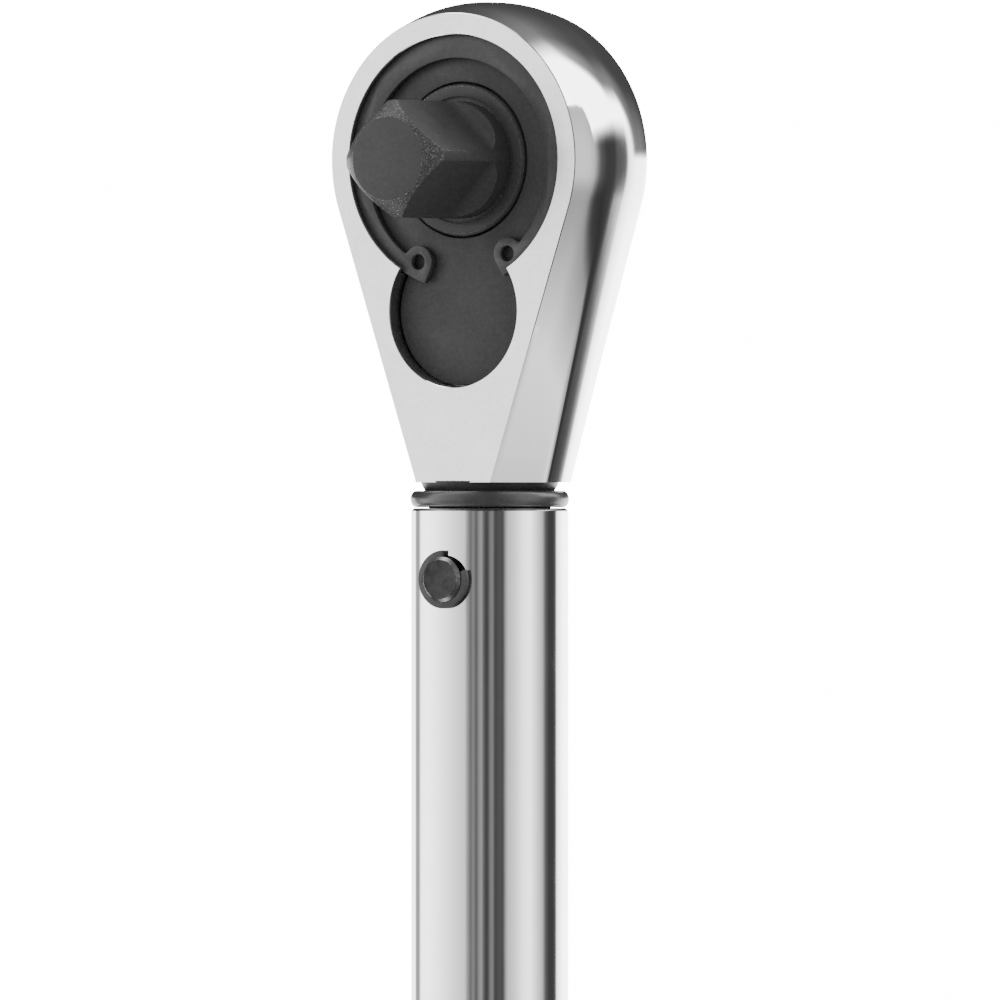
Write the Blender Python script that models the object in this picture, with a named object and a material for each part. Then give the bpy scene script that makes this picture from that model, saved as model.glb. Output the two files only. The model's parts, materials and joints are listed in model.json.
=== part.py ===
# Click torque wrench with a reversible ratchet head and a half inch square drive.
# The tube stands along +Z with the lock knob's end at the origin. The square drive
# points along -Y. All sizes are in metres.

import math

import bmesh
import bpy
from mathutils import Matrix, Vector

MM = 0.001

# Clearances
GAP = 0.3 * MM              # between pieces that touch or slide
COG_GAP = 0.7 * MM          # between the pawl's tips and the gear's tips
SLIDE_GAP = 0.4 * MM        # between the tube and the sleeve that slides over it
CUT_PAST = 1.0 * MM         # how far a cutter reaches past what it cuts
WELD_DEPTH = 2.0 * MM       # how far welded shapes reach into each other

# Tube
TUBE_RADIUS = 11.1 * MM
TUBE_WALL = 1.8 * MM
TUBE_LENGTH = 332.85 * MM
TUBE_EDGE = 0.4 * MM

# Ratchet head
RIM = 2.8 * MM              # flat front face round the pocket
FLARE = 1.9 * MM            # the head is this much wider in the middle of its depth
BACK_TAPER = 1.1 * MM
BACK_ROUND = 2.4 * MM
BACK_ROUND_SWELL = 0.5 * MM
HEAD_FRONT = 9.3 * MM       # front face to the tube's middle plane
HEAD_BACK = 9.6 * MM
FACE_EDGE = 0.25 * MM
WIDEST_FRONT = 0.8 * MM
WIDEST_BACK = 0.5 * MM
BACK_BEND = 2.2 * MM
NECK_STEP = 0.1 * MM        # neck radius is this much under the tube's
FAIRING_GAP = 0.9 * MM      # below the reverse lever's reach
FAIRING_STRAIGHT = 0.3      # share of its height that stays as thick as the neck
SKIN = 0.02 * MM            # keeps two welded skins apart
COLLAR_EDGE = 0.4 * MM
LOBE_TO_TUBE = 17.05 * MM   # pocket's lowest point down to the tube's top edge
SEAL_HEIGHT = 2.05 * MM
SEAL_ROUNDING = 0.42        # share of its height
SEAL_TO_NECK = 1.3 * MM

# Pocket in the head
LOBE_ROOM = 6.8 * MM        # lever's shaft out to the pocket's wall round it
LEDGE = 1.5 * MM            # the cover plate rests on it
POCKET_DEPTH = 4.4 * MM     # front face to the ledge
CAVITY_DEPTH = 14.8 * MM    # front face to the cavity's floor
RING_DEPTH = 0.6 * MM       # front face to the snap ring's groove
RING_THICK = 1.0 * MM
RING_BITE = 0.5 * MM        # how far the ring sits in its groove
RING_BAND = 3.8 * MM        # band width opposite the gap
RING_BAND_END = 2.2 * MM
LUG_RADIUS = 2.3 * MM
LUG_HOLE_RADIUS = 1.1 * MM
LUG_INSET = 0.1 * MM
LUG_SWEEP = 162.0           # degrees round a lug's inner end
LEFT_LUG_ANGLE = 24.5       # degrees from straight down
RIGHT_LUG_ANGLE = 33.0
PLATE_THICK = 1.8 * MM

# Drive gear
TEETH = 36
TOOTH_DEPTH = 1.1 * MM
GEAR_STEP = 2.85 * MM       # hub out to the gear's tips
GEAR_ROOM = 2.6 * MM        # gear's tips out to the cavity's wall
HUB_SHOULDER = 2.45 * MM    # round shank out to the hub's edge
HUB_EDGE = 0.3 * MM
HUB_BELOW_FACE = 1.8 * MM
CORNER_TURN = 0.68 * MM     # turned off the square's corners
UNDERCUT_WIDTH = 0.7 * MM
UNDERCUT_DEPTH = 0.5 * MM
JOURNAL_RADIUS = 7.0 * MM
JOURNAL_LENGTH = 2.6 * MM
SQUARE = 12.7 * MM          # across the flats
DRIVE_REACH = 16.4 * MM     # front face to the drive's tip
TIP_STEP = 2.4 * MM         # how much narrower the tip is than the shank
TIP_CHAMFER = 1.9 * MM
SQUARE_LENGTH = 13.2 * MM   # straight part of the flats
RUN_OUT = 3.2 * MM          # radius of the cutter where the flats end
RUN_OUT_ANGLE = 70.0
DRIVE_TURN = 3.0            # degrees that the square stands turned
BALL_RADIUS = 1.7 * MM
BALL_SHOWS = 0.7 * MM
BALL_FROM_TIP = 7.6 * MM
BALL_HOLE_GAP = 0.2 * MM
DETENT_SIDE = 3             # which of the four flats has the ball
DETENT_DEPTH = 5.0 * MM
DETENT_WIRE = 0.4 * MM
SMALL_SPRING_SHARE = 0.7    # a small spring's radius as a share of what it pushes
SMALL_SPRING_TURNS = 3

# Pawl and reverse lever
PAWL_SIDE_GAP = 1.34 * MM   # to the cavity's waist, so that the pawl can rock
PAWL_RISE = 3.7 * MM        # lever's shaft up to the gear's tips
PAWL_HOLE_GAP = 0.6 * MM
PAWL_ROCK = 7.0             # degrees from one side to the other
PAWL_COGS = 5
COG_DEPTH = 0.88 * MM
LEVER_THROW = 44.0
LEVER_SHAFT_RADIUS = 4.0 * MM
LEVER_DISC_RADIUS = 7.6 * MM
LEVER_DISC_EDGE = 0.5 * MM
LEVER_THICK = 2.6 * MM
LEVER_WAIST = 5.32 * MM     # half the paddle's width where it leaves the disc
LEVER_BAR_WIDTH = 2.0 * MM
LEVER_BAR_HEIGHT = 1.6 * MM
LEVER_REACH = 13.8 * MM
LEVER_TIP_RADIUS = 3.0 * MM
RETAINER_THICK = 0.8 * MM
RETAINER_BITE = 1.0 * MM
RETAINER_BAND = 2.0 * MM
RETAINER_OPENING = 80.0     # degrees
RETAINER_INSET = 0.2 * MM
RETAINER_SEAT_GAP = 0.4 * MM
POPPET_RADIUS = 1.0 * MM
POPPET_LENGTH = 3.0 * MM
POPPET_HOLE_END = 1.5 * MM  # above the lever's axis
POPPET_SET_BACK = 1.0 * MM
POPPET_WIRE = 0.35 * MM

# Lever arm and its pivot
CLICK_ANGLE = 1.8           # degrees of tilt when it clicks
PIN_DROP = 10.05 * MM       # tube's top edge down to the pivot pin
PIN_RADIUS = 3.2 * MM
PIN_STANDS_OUT = 1.5 * MM
PIN_EDGE = 0.4 * MM
CLIP_THICK = 0.6 * MM
CLIP_BITE = 0.6 * MM
CLIP_BAND = 1.25 * MM
CLIP_OPENING = 70.0         # degrees
CLIP_TURN = 55.0            # degrees from +X to the middle of its opening
CLIP_SLACK = 0.15 * MM
STEM_BELOW_PIN = 8.0 * MM
ARM_LENGTH = 58.8 * MM      # pivot pin down to the arm's end
ARM_WIDTH = 9.0 * MM
ARM_DEPTH = 10.0 * MM

# Click mechanism
BLOCK_WIDTH = 6.0 * MM
BLOCK_DEPTH = 9.0 * MM
BLOCK_HEIGHT = 8.0 * MM     # its ends are rounded about its middle, so that it rolls
PLUNGER_LENGTH = 47.4 * MM
SPIGOT_LENGTH = 8.0 * MM
SPIGOT_GAP = 0.5 * MM
PLUNGER_BAND = 10.0 * MM    # the parts of it that guide it in the tube
PLUNGER_WAIST = 0.8 * MM
PLUNGER_EDGE = 0.5 * MM
CLOSED_TURN = 1.08          # rise of a spring's closed end turn, in wire widths
SPRING_WIRE = 3.2 * MM
SPRING_SIDE_GAP = 0.6 * MM
SPRING_TURNS = 15
SEAT_LENGTH = 13.5 * MM
CUP_GAP = 0.1 * MM          # the seat's cup is this much wider than the ball, past the usual gap
CUP_ANGLE = 75.0
THRUST_BALL_RADIUS = 4.0 * MM

# Handle
KNOB_RADIUS = 12.0 * MM
KNOB_HEIGHT = 14.0 * MM
KNOB_EDGE = 1.2 * MM
KNOB_STUD_RADIUS = 4.0 * MM
KNOB_STUD_LENGTH = 10.0 * MM
LOCK_TRAVEL = 2.5 * MM
KNOB_SPARE = 0.5 * MM       # left between the knob and the plug when it is screwed in
LOCK_ROD_RADIUS = 2.6 * MM
LOCK_ROD_LENGTH = 36.0 * MM
PLUG_HEIGHT = 16.0 * MM
PLUG_STEP = 0.8 * MM        # the plug is this much wider than the sleeve's upper bore
SCREW_RADIUS = 5.7 * MM
SCREW_FLANGE_STEP = 1.3 * MM
SCREW_FLANGE_HEIGHT = 3.0 * MM
SCREW_SET_BACK = 2.4 * MM   # flange's top below the plug's top
SCREW_POINT = 1.0 * MM
SCREW_LENGTH = 60.7 * MM
SCREW_BORE_SPARE = 10.0 * MM
THREAD_DEPTH = 0.6 * MM
THREAD_SPACING = 4.0 * MM   # rings stand for the finer helical thread
THREAD_TOP = 3.0 * MM       # plain end above the thread
JAM_NUT_HEIGHT = 5.0 * MM
JAM_NUT_FLATS = 17.0 * MM
HANDLE_TRAVEL = 20.0 * MM
TRAVEL_SPARE = 1.7 * MM
NUT_LENGTH = 20.0 * MM
NUT_PIN_RADIUS = 1.5 * MM
NUT_PIN_FROM_SCREW = 1.5 * MM
GRIP_WALL = 3.5 * MM
GRIP_LENGTH = 118.0 * MM
GRIP_EDGE = 1.5 * MM
GROOVE_WIDTH = 2.4 * MM
GROOVE_DEPTH = 0.8 * MM
THIMBLE_LENGTH = 16.0 * MM
THIMBLE_TOP_WALL = 0.9 * MM
THIMBLE_STRAIGHT = 0.35     # share of its length below the taper

# Places worked out from the sizes above
TUBE_BORE = TUBE_RADIUS - TUBE_WALL
NECK_RADIUS = TUBE_RADIUS - NECK_STEP
SLIDE_RADIUS = TUBE_RADIUS + SLIDE_GAP
GRIP_RADIUS = SLIDE_RADIUS + GRIP_WALL
PLUG_RADIUS = SLIDE_RADIUS + PLUG_STEP
SCREW_FLANGE_RADIUS = SCREW_RADIUS + SCREW_FLANGE_STEP
SHANK_RADIUS = SQUARE / math.sqrt(2) - CORNER_TURN
TIP_RADIUS = SHANK_RADIUS - TIP_STEP
HUB_RADIUS = SHANK_RADIUS + HUB_SHOULDER
GEAR_RADIUS = HUB_RADIUS + GEAR_STEP
CAVITY_RADIUS = GEAR_RADIUS + GEAR_ROOM
LOBE_RADIUS = LEVER_SHAFT_RADIUS + LOBE_ROOM
CAVITY_LOBE_RADIUS = LOBE_RADIUS - LEDGE / 2
POCKET_RADIUS = CAVITY_RADIUS + LEDGE
FACE_RADIUS = POCKET_RADIUS + RIM
HEAD_RADIUS = FACE_RADIUS + FLARE
BACK_RADIUS = HEAD_RADIUS - BACK_TAPER
BACK_EDGE_RADIUS = BACK_RADIUS - BACK_ROUND
PAWL_HOLE = LEVER_SHAFT_RADIUS + PAWL_HOLE_GAP
RETAINER_BORE = LEVER_SHAFT_RADIUS - RETAINER_BITE + RETAINER_INSET
RETAINER_RADIUS = RETAINER_BORE + RETAINER_BAND
LOBE_DROP = GEAR_RADIUS + PAWL_RISE + LEVER_SHAFT_RADIUS
WAIST_DROP = (CAVITY_RADIUS ** 2 - CAVITY_LOBE_RADIUS ** 2 + LOBE_DROP ** 2) / (2 * LOBE_DROP)
PAWL_HALF_WIDTH = math.sqrt(CAVITY_RADIUS ** 2 - WAIST_DROP ** 2) - PAWL_SIDE_GAP
HEAD_RISE = LOBE_DROP + LOBE_RADIUS + LOBE_TO_TUBE
PLUG_Z = KNOB_HEIGHT + LOCK_TRAVEL + KNOB_SPARE
PLUG_TOP_Z = PLUG_Z + PLUG_HEIGHT
JAM_NUT_TOP_Z = PLUG_TOP_Z + GAP + JAM_NUT_HEIGHT
TUBE_Z = JAM_NUT_TOP_Z + HANDLE_TRAVEL + TRAVEL_SPARE
TUBE_TOP_Z = TUBE_Z + TUBE_LENGTH
DRIVE_Z = TUBE_TOP_Z + HEAD_RISE
LOBE_Z = DRIVE_Z - LOBE_DROP
SEAL_Z = TUBE_TOP_Z + GAP
NECK_Z = SEAL_Z + SEAL_HEIGHT + SEAL_TO_NECK
FAIRING_HEIGHT = LOBE_Z - LEVER_REACH - FAIRING_GAP - NECK_Z
PIN_Z = TUBE_TOP_Z - PIN_DROP
ARM_END_Z = PIN_Z - ARM_LENGTH
BLOCK_Z = ARM_END_Z - GAP - BLOCK_HEIGHT
PLUNGER_Z = BLOCK_Z - GAP - PLUNGER_LENGTH
FACE_Y = -HEAD_FRONT
LEDGE_Y = FACE_Y + POCKET_DEPTH
FLOOR_Y = FACE_Y + CAVITY_DEPTH
HUB_Y = FACE_Y + HUB_BELOW_FACE
TIP_Y = FACE_Y - DRIVE_REACH
PLATE_Y = LEDGE_Y - GAP - PLATE_THICK
GEAR_FRONT_Y = LEDGE_Y
GEAR_BACK_Y = FLOOR_Y - GAP
SWING = math.tan(math.radians(CLICK_ANGLE))
STEM_RADIUS = TUBE_BORE - PIN_DROP * SWING - SLIDE_GAP
COLLAR_RADIUS = TUBE_BORE - GAP / 3
COLLAR_Z = SEAL_Z + COLLAR_RADIUS * SWING
SEAL_BORE = COLLAR_RADIUS + (NECK_Z - PIN_Z) * SWING + GAP
SPRING_RADIUS = TUBE_BORE - SPRING_SIDE_GAP - SPRING_WIRE / 2
SPIGOT_RADIUS = SPRING_RADIUS - SPRING_WIRE / 2 - SPIGOT_GAP
SCREW_Z = PLUG_TOP_Z - GAP - SCREW_FLANGE_HEIGHT - SCREW_SET_BACK
SCREW_TOP_Z = SCREW_Z + SCREW_LENGTH
THRUST_Z = SCREW_TOP_Z + GAP + THRUST_BALL_RADIUS
SEAT_Z = THRUST_Z
SEAT_TOP_Z = SEAT_Z + SEAT_LENGTH
LOCK_ROD_Z = KNOB_HEIGHT + KNOB_STUD_LENGTH + GAP
PAWL_FRONT_Y = GEAR_FRONT_Y + GAP
RETAINER_Y = PAWL_FRONT_Y + RETAINER_INSET
BALL_CENTRE = SQUARE / 2 + BALL_SHOWS - BALL_RADIUS
BALL_Y = TIP_Y + BALL_FROM_TIP


def finish(name, colour, roughness, metallic):
    material = bpy.data.materials.new(name + "_finish")
    material.use_nodes = True
    shader = material.node_tree.nodes["Principled BSDF"]
    shader.inputs["Base Color"].default_value = (*colour, 1.0)
    shader.inputs["Roughness"].default_value = roughness
    shader.inputs["Metallic"].default_value = metallic
    material.diffuse_color = (*colour, 1.0)
    return material


CHROME = ((0.86, 0.86, 0.87), 0.08, 1.0)
SATIN = ((0.72, 0.72, 0.73), 0.35, 1.0)
BLACK_OXIDE = ((0.07, 0.07, 0.075), 0.45, 0.9)
STEEL = ((0.55, 0.55, 0.56), 0.35, 1.0)
RUBBER = ((0.02, 0.02, 0.02), 0.4, 0.0)
BRASS = ((0.75, 0.6, 0.3), 0.3, 1.0)


def place(name, mesh_data, coat, origin=(0, 0, 0)):
    """Make an object whose mesh is given in the wrench's own frame."""
    bmesh.ops.recalc_face_normals(mesh_data, faces=mesh_data.faces)
    mesh = bpy.data.meshes.new(name)
    mesh_data.to_mesh(mesh)
    mesh_data.free()
    mesh.transform(Matrix.Translation(-Vector(origin)))
    mesh.shade_smooth()
    mesh.set_sharp_from_angle(angle=math.radians(30))
    item = bpy.data.objects.new(name, mesh)
    item.location = origin
    bpy.context.scene.collection.objects.link(item)
    if coat is not None:
        mesh.materials.append(finish(name, *coat))
    return item


def combine(item, other_mesh, operation):
    """Cut the given shape from an object, or weld it on."""
    other = place(item.name + "_tool_" + str(len(item.modifiers)), other_mesh, None)
    other.hide_render = True
    other.display_type = "WIRE"
    modifier = item.modifiers.new(operation.lower(), "BOOLEAN")
    modifier.operation = operation
    modifier.solver = "EXACT"
    modifier.object = other


def cut(item, tool_mesh):
    combine(item, tool_mesh, "DIFFERENCE")


def weld(item, tool_mesh):
    combine(item, tool_mesh, "UNION")


def turned(profile, steps=48, closed=False):
    """Turn a profile of (radius, height) points about Z; points at radius 0 close it."""
    shape = bmesh.new()
    rings = []
    for radius, height in profile:
        if radius <= 0:
            rings.append([shape.verts.new((0, 0, height))] * steps)
            continue
        ring = []
        for step in range(steps):
            angle = 2 * math.pi * step / steps
            ring.append(shape.verts.new((radius * math.cos(angle), radius * math.sin(angle), height)))
        rings.append(ring)
    pairs = list(zip(rings, rings[1:]))
    if closed:
        pairs.append((rings[-1], rings[0]))
    for lower, upper in pairs:
        for step in range(steps):
            after = (step + 1) % steps
            corners = [lower[step], lower[after], upper[after], upper[step]]
            unique = list(dict.fromkeys(corners))
            if len(unique) > 2:
                shape.faces.new(unique)
    return shape


def along_y(shape, x=0.0, z=0.0):
    """Turn a shape from the Z axis to the Y axis, so that its height becomes its Y."""
    turn = Matrix(((1, 0, 0), (0, 0, 1), (0, -1, 0)))
    shape.transform(turn.to_4x4())
    shape.transform(Matrix.Translation((x, 0, z)))
    return shape


def disc(radius, low, high, steps=48):
    return turned([(0, low), (radius, low), (radius, high), (0, high)], steps)


def pipe(inner, outer, low, high, steps=48):
    profile = [(outer, low), (outer, high), (inner, high), (inner, low)]
    return turned(profile, steps, closed=True)


def slab(points, front_y, back_y):
    """Extrude an outline of (x, z) points from one Y to another."""
    shape = bmesh.new()
    front = [shape.verts.new((x, front_y, z)) for x, z in points]
    back = [shape.verts.new((x, back_y, z)) for x, z in points]
    shape.faces.new(front)
    shape.faces.new(list(reversed(back)))
    for index in range(len(points)):
        after = (index + 1) % len(points)
        shape.faces.new([front[index], back[index], back[after], front[after]])
    return shape


def box(low, high):
    shape = bmesh.new()
    bmesh.ops.create_cube(shape, size=1.0)
    for vert in shape.verts:
        for axis in range(3):
            vert.co[axis] = low[axis] if vert.co[axis] < 0 else high[axis]
    return shape


def arc(centre_x, centre_z, radius, start, end, steps):
    """Points on a circle in the XZ plane, from one angle in degrees to another."""
    points = []
    for step in range(steps + 1):
        angle = math.radians(start + (end - start) * step / steps)
        points.append((centre_x + radius * math.cos(angle), centre_z + radius * math.sin(angle)))
    return points


def coil(radius, wire, low, high, turns, steps=10, sides=5):
    """A compression spring about Z whose first and last turns lie flat."""
    shape = bmesh.new()
    low_z = low + wire / 2
    high_z = high - wire / 2
    closed_rise = wire * CLOSED_TURN
    total = turns * steps
    middle_rise = (high_z - low_z - 2 * closed_rise) / (turns - 2)
    rings = []
    for step in range(total + 1):
        turn = step / steps
        z = low_z + closed_rise * min(turn, 1.0)
        z += middle_rise * min(max(turn - 1.0, 0.0), turns - 2.0)
        z += closed_rise * max(turn - (turns - 1.0), 0.0)
        angle = 2 * math.pi * turn
        out = Vector((math.cos(angle), math.sin(angle), 0))
        centre = out * radius + Vector((0, 0, z))
        ring = []
        for side in range(sides):
            around = 2 * math.pi * side / sides
            offset = out * math.cos(around) + Vector((0, 0, math.sin(around)))
            ring.append(shape.verts.new(centre + offset * wire / 2))
        rings.append(ring)
    for first, second in zip(rings, rings[1:]):
        for side in range(sides):
            after = (side + 1) % sides
            shape.faces.new([first[side], first[after], second[after], second[side]])
    shape.faces.new(list(reversed(rings[0])))
    shape.faces.new(rings[-1])
    return shape


def ball(centre, radius, u=16, v=10):
    shape = bmesh.new()
    bmesh.ops.create_uvsphere(shape, u_segments=u, v_segments=v, radius=radius)
    shape.transform(Matrix.Translation(centre))
    return shape


def head_radius(y):
    """Radius of the head's outline at a depth: flared front, rounded back edge."""
    corners = [
        (FACE_Y, FACE_RADIUS - FACE_EDGE),
        (FACE_Y + FACE_EDGE, FACE_RADIUS),
        (-WIDEST_FRONT, HEAD_RADIUS),
        (WIDEST_BACK, HEAD_RADIUS),
        (HEAD_BACK - BACK_BEND, BACK_RADIUS),
        (HEAD_BACK - BACK_BEND / 3, (BACK_RADIUS + BACK_EDGE_RADIUS) / 2 + BACK_ROUND_SWELL),
        (HEAD_BACK, BACK_EDGE_RADIUS),
    ]
    for (first_y, first_r), (second_y, second_r) in zip(corners, corners[1:]):
        if y <= second_y + 1e-9:
            share = (y - first_y) / (second_y - first_y)
            return first_r + (second_r - first_r) * share
    return BACK_EDGE_RADIUS


def head_outline(y, steps=44):
    """Round top, straight sides down to the neck's round section."""
    radius = head_radius(y)
    half_neck = math.sqrt(NECK_RADIUS ** 2 - y ** 2)
    drop = DRIVE_Z - NECK_Z
    reach = math.hypot(half_neck, drop)
    tangent = math.degrees(math.atan2(-drop, half_neck) + math.acos(radius / reach))
    points = [(half_neck, NECK_Z)]
    points += arc(0, DRIVE_Z, radius, tangent, 180 - tangent, steps)
    points.append((-half_neck, NECK_Z))
    return points


def head_shell():
    """The outside of the head, lofted through outlines from front to back."""
    levels = [FACE_Y, FACE_Y + FACE_EDGE]
    front_steps = 5
    start = FACE_Y + FACE_EDGE
    for step in range(1, front_steps + 1):
        levels.append(start + (-WIDEST_FRONT - start) * step / front_steps)
    levels.append(WIDEST_BACK)
    levels.append((WIDEST_BACK + HEAD_BACK - BACK_BEND) / 2)
    levels += [HEAD_BACK - BACK_BEND, HEAD_BACK - BACK_BEND / 3, HEAD_BACK]
    shape = bmesh.new()
    rings = []
    for y in levels:
        rings.append([shape.verts.new((x, y, z)) for x, z in head_outline(y)])
    for first, second in zip(rings, rings[1:]):
        for index in range(len(first)):
            after = (index + 1) % len(first)
            shape.faces.new([first[index], first[after], second[after], second[index]])
    shape.faces.new(rings[0])
    shape.faces.new(list(reversed(rings[-1])))
    return shape


def neck_fairing():
    """Rounds the back of the neck and lets it fade into the head's flat back."""
    top = NECK_Z + FAIRING_HEIGHT
    radius = NECK_RADIUS + SKIN
    shape = turned([
        (0, NECK_Z - SKIN), (radius, NECK_Z - SKIN), (radius, NECK_Z + FAIRING_HEIGHT * FAIRING_STRAIGHT),
        (HEAD_BACK - 5 * SKIN, top), (0, top)], 64)
    for vert in shape.verts:
        vert.co.y = max(vert.co.y, FACE_Y + 5 * SKIN)
    return shape


def snowman(radius, lobe_radius, steps=56):
    """Outline of a large circle on the drive axis joined to the lever's lobe below it."""
    meet = (radius ** 2 - lobe_radius ** 2 + LOBE_DROP ** 2) / (2 * LOBE_DROP)
    half = math.sqrt(radius ** 2 - meet ** 2)
    big = math.degrees(math.atan2(-meet, half))
    small = math.degrees(math.atan2(LOBE_DROP - meet, half))
    points = arc(0, DRIVE_Z, radius, big, 180 - big, steps)
    points += arc(0, LOBE_Z, lobe_radius, 180 - small, 360 + small, steps // 2)[1:-1]
    return points


def make_head():
    head = place("ratchet_head", head_shell(), CHROME)
    weld(head, neck_fairing())
    collar_top = NECK_Z + WELD_DEPTH
    weld(head, turned([
        (0, COLLAR_Z - COLLAR_EDGE), (COLLAR_RADIUS - COLLAR_EDGE, COLLAR_Z - COLLAR_EDGE),
        (COLLAR_RADIUS, COLLAR_Z), (COLLAR_RADIUS, collar_top), (0, collar_top)]))
    weld(head, disc(STEM_RADIUS, PIN_Z - STEM_BELOW_PIN, collar_top + CUT_PAST))
    arm_top = PIN_Z - STEM_BELOW_PIN + WELD_DEPTH
    weld(head, box((-ARM_WIDTH / 2, -ARM_DEPTH / 2, ARM_END_Z), (ARM_WIDTH / 2, ARM_DEPTH / 2, arm_top)))
    cut(head, slab(snowman(POCKET_RADIUS, LOBE_RADIUS), FACE_Y - CUT_PAST, LEDGE_Y))
    cut(head, slab(snowman(CAVITY_RADIUS, CAVITY_LOBE_RADIUS), LEDGE_Y - CUT_PAST, FLOOR_Y))
    groove_low = FACE_Y + RING_DEPTH
    groove_high = groove_low + RING_THICK + 2 * GAP
    groove_radius = POCKET_RADIUS + RING_BITE + GAP
    groove = along_y(disc(groove_radius, groove_low, groove_high, 64), 0, DRIVE_Z)
    cut(head, groove)
    journal_end = GEAR_BACK_Y + JOURNAL_LENGTH + GAP
    cut(head, along_y(disc(JOURNAL_RADIUS + GAP, FLOOR_Y - CUT_PAST, journal_end), 0, DRIVE_Z))
    lever_hole = disc(LEVER_SHAFT_RADIUS + GAP, FLOOR_Y - CUT_PAST, HEAD_BACK + CUT_PAST, 32)
    cut(head, along_y(lever_hole, 0, LOBE_Z))
    pin_reach = TUBE_RADIUS + CUT_PAST
    cut(head, along_y(disc(PIN_RADIUS + GAP, -pin_reach, pin_reach, 40), 0, PIN_Z))


def make_cover_plate():
    outline = snowman(POCKET_RADIUS - GAP, LOBE_RADIUS - GAP)
    plate = place("cover_plate", slab(outline, PLATE_Y, PLATE_Y + PLATE_THICK), BLACK_OXIDE)
    hole = disc(HUB_RADIUS + GAP, PLATE_Y - CUT_PAST, PLATE_Y + PLATE_THICK + CUT_PAST)
    cut(plate, along_y(hole, 0, DRIVE_Z))


def lug_place(angle):
    """A lug's middle, its outward direction and the way round the ring from it."""
    out = Vector((math.cos(math.radians(angle)), math.sin(math.radians(angle))))
    distance = POCKET_RADIUS + RING_BITE - LUG_RADIUS - LUG_INSET
    return out * distance + Vector((0, DRIVE_Z)), out, Vector((-out.y, out.x))


def lug_edge(angle, side, steps=14):
    """Points round a lug's inner end, from the ring's gap to its band."""
    middle, out, along = lug_place(angle)
    points = []
    for step in range(steps + 1):
        turn = math.radians(90 - LUG_SWEEP * step / steps)
        point = middle - out * LUG_RADIUS * math.cos(turn) + along * side * LUG_RADIUS * math.sin(turn)
        points.append((point.x, point.y))
    return points


def make_snap_ring():
    """Open ring, widest at the top, with a pierced lug at each end."""
    outer = POCKET_RADIUS + RING_BITE
    front = FACE_Y + RING_DEPTH + GAP
    back = front + RING_THICK
    hole_shift = (RING_BAND - RING_BAND_END) / 2
    inner = outer - (RING_BAND + RING_BAND_END) / 2
    inner_z = DRIVE_Z - hole_shift
    lug_half_angle = math.degrees(math.asin(LUG_RADIUS / outer))
    right = -90 + RIGHT_LUG_ANGLE
    left = 270 - LEFT_LUG_ANGLE
    left_edge = lug_edge(left, 1)
    right_edge = lug_edge(right, -1)
    left_stop = 360 + math.degrees(math.atan2(left_edge[-1][1] - inner_z, left_edge[-1][0])) - 1
    right_stop = math.degrees(math.atan2(right_edge[-1][1] - inner_z, right_edge[-1][0])) + 1
    outline = arc(0, DRIVE_Z, outer, right - lug_half_angle, left + lug_half_angle, 72)
    outline += left_edge
    outline += arc(0, inner_z, inner, left_stop, right_stop, 60)
    outline += list(reversed(right_edge))
    ring = place("snap_ring", slab(outline, front, back), BLACK_OXIDE)
    for angle in (left, right):
        middle = lug_place(angle)[0]
        hole = disc(LUG_HOLE_RADIUS, front - CUT_PAST, back + CUT_PAST, 20)
        cut(ring, along_y(hole, middle.x, middle.y))


def toothed_disc():
    """Ratchet teeth with equal sides, so that the pawl can hold either way."""
    points = []
    for tooth in range(TEETH):
        for share, radius in ((0.0, GEAR_RADIUS), (0.5, GEAR_RADIUS - TOOTH_DEPTH)):
            angle = 2 * math.pi * (tooth + share) / TEETH
            points.append((radius * math.cos(angle), DRIVE_Z + radius * math.sin(angle)))
    return slab(points, GEAR_FRONT_Y, GEAR_BACK_Y)


def flat_cutter():
    """What a milling cutter takes off one side of the round shank to leave a flat."""
    half = SQUARE / 2
    end_y = TIP_Y + SQUARE_LENGTH
    profile = [(half, TIP_Y - CUT_PAST), (half, end_y)]
    steps = 6
    for step in range(1, steps + 1):
        angle = math.radians(RUN_OUT_ANGLE * step / steps)
        out = half + RUN_OUT * (1 - math.cos(angle))
        profile.append((out, end_y + RUN_OUT * math.sin(angle)))
    profile.append((SHANK_RADIUS + CUT_PAST, profile[-1][1]))
    profile.append((SHANK_RADIUS + CUT_PAST, TIP_Y - CUT_PAST))
    shape = bmesh.new()
    sides = []
    for x in (-SHANK_RADIUS - CUT_PAST, SHANK_RADIUS + CUT_PAST):
        sides.append([shape.verts.new((x, y, out)) for out, y in profile])
    shape.faces.new(sides[0])
    shape.faces.new(list(reversed(sides[1])))
    for index in range(len(profile)):
        after = (index + 1) % len(profile)
        shape.faces.new([sides[0][index], sides[1][index], sides[1][after], sides[0][after]])
    return shape


def flat_turn(side):
    """Turns a shape from +Z to one of the square's four flats, about the drive axis."""
    turn = math.radians(45 + 90 * side - DRIVE_TURN)
    return Matrix.Translation((0, 0, DRIVE_Z)) @ Matrix.Rotation(turn, 4, "Y")


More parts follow.
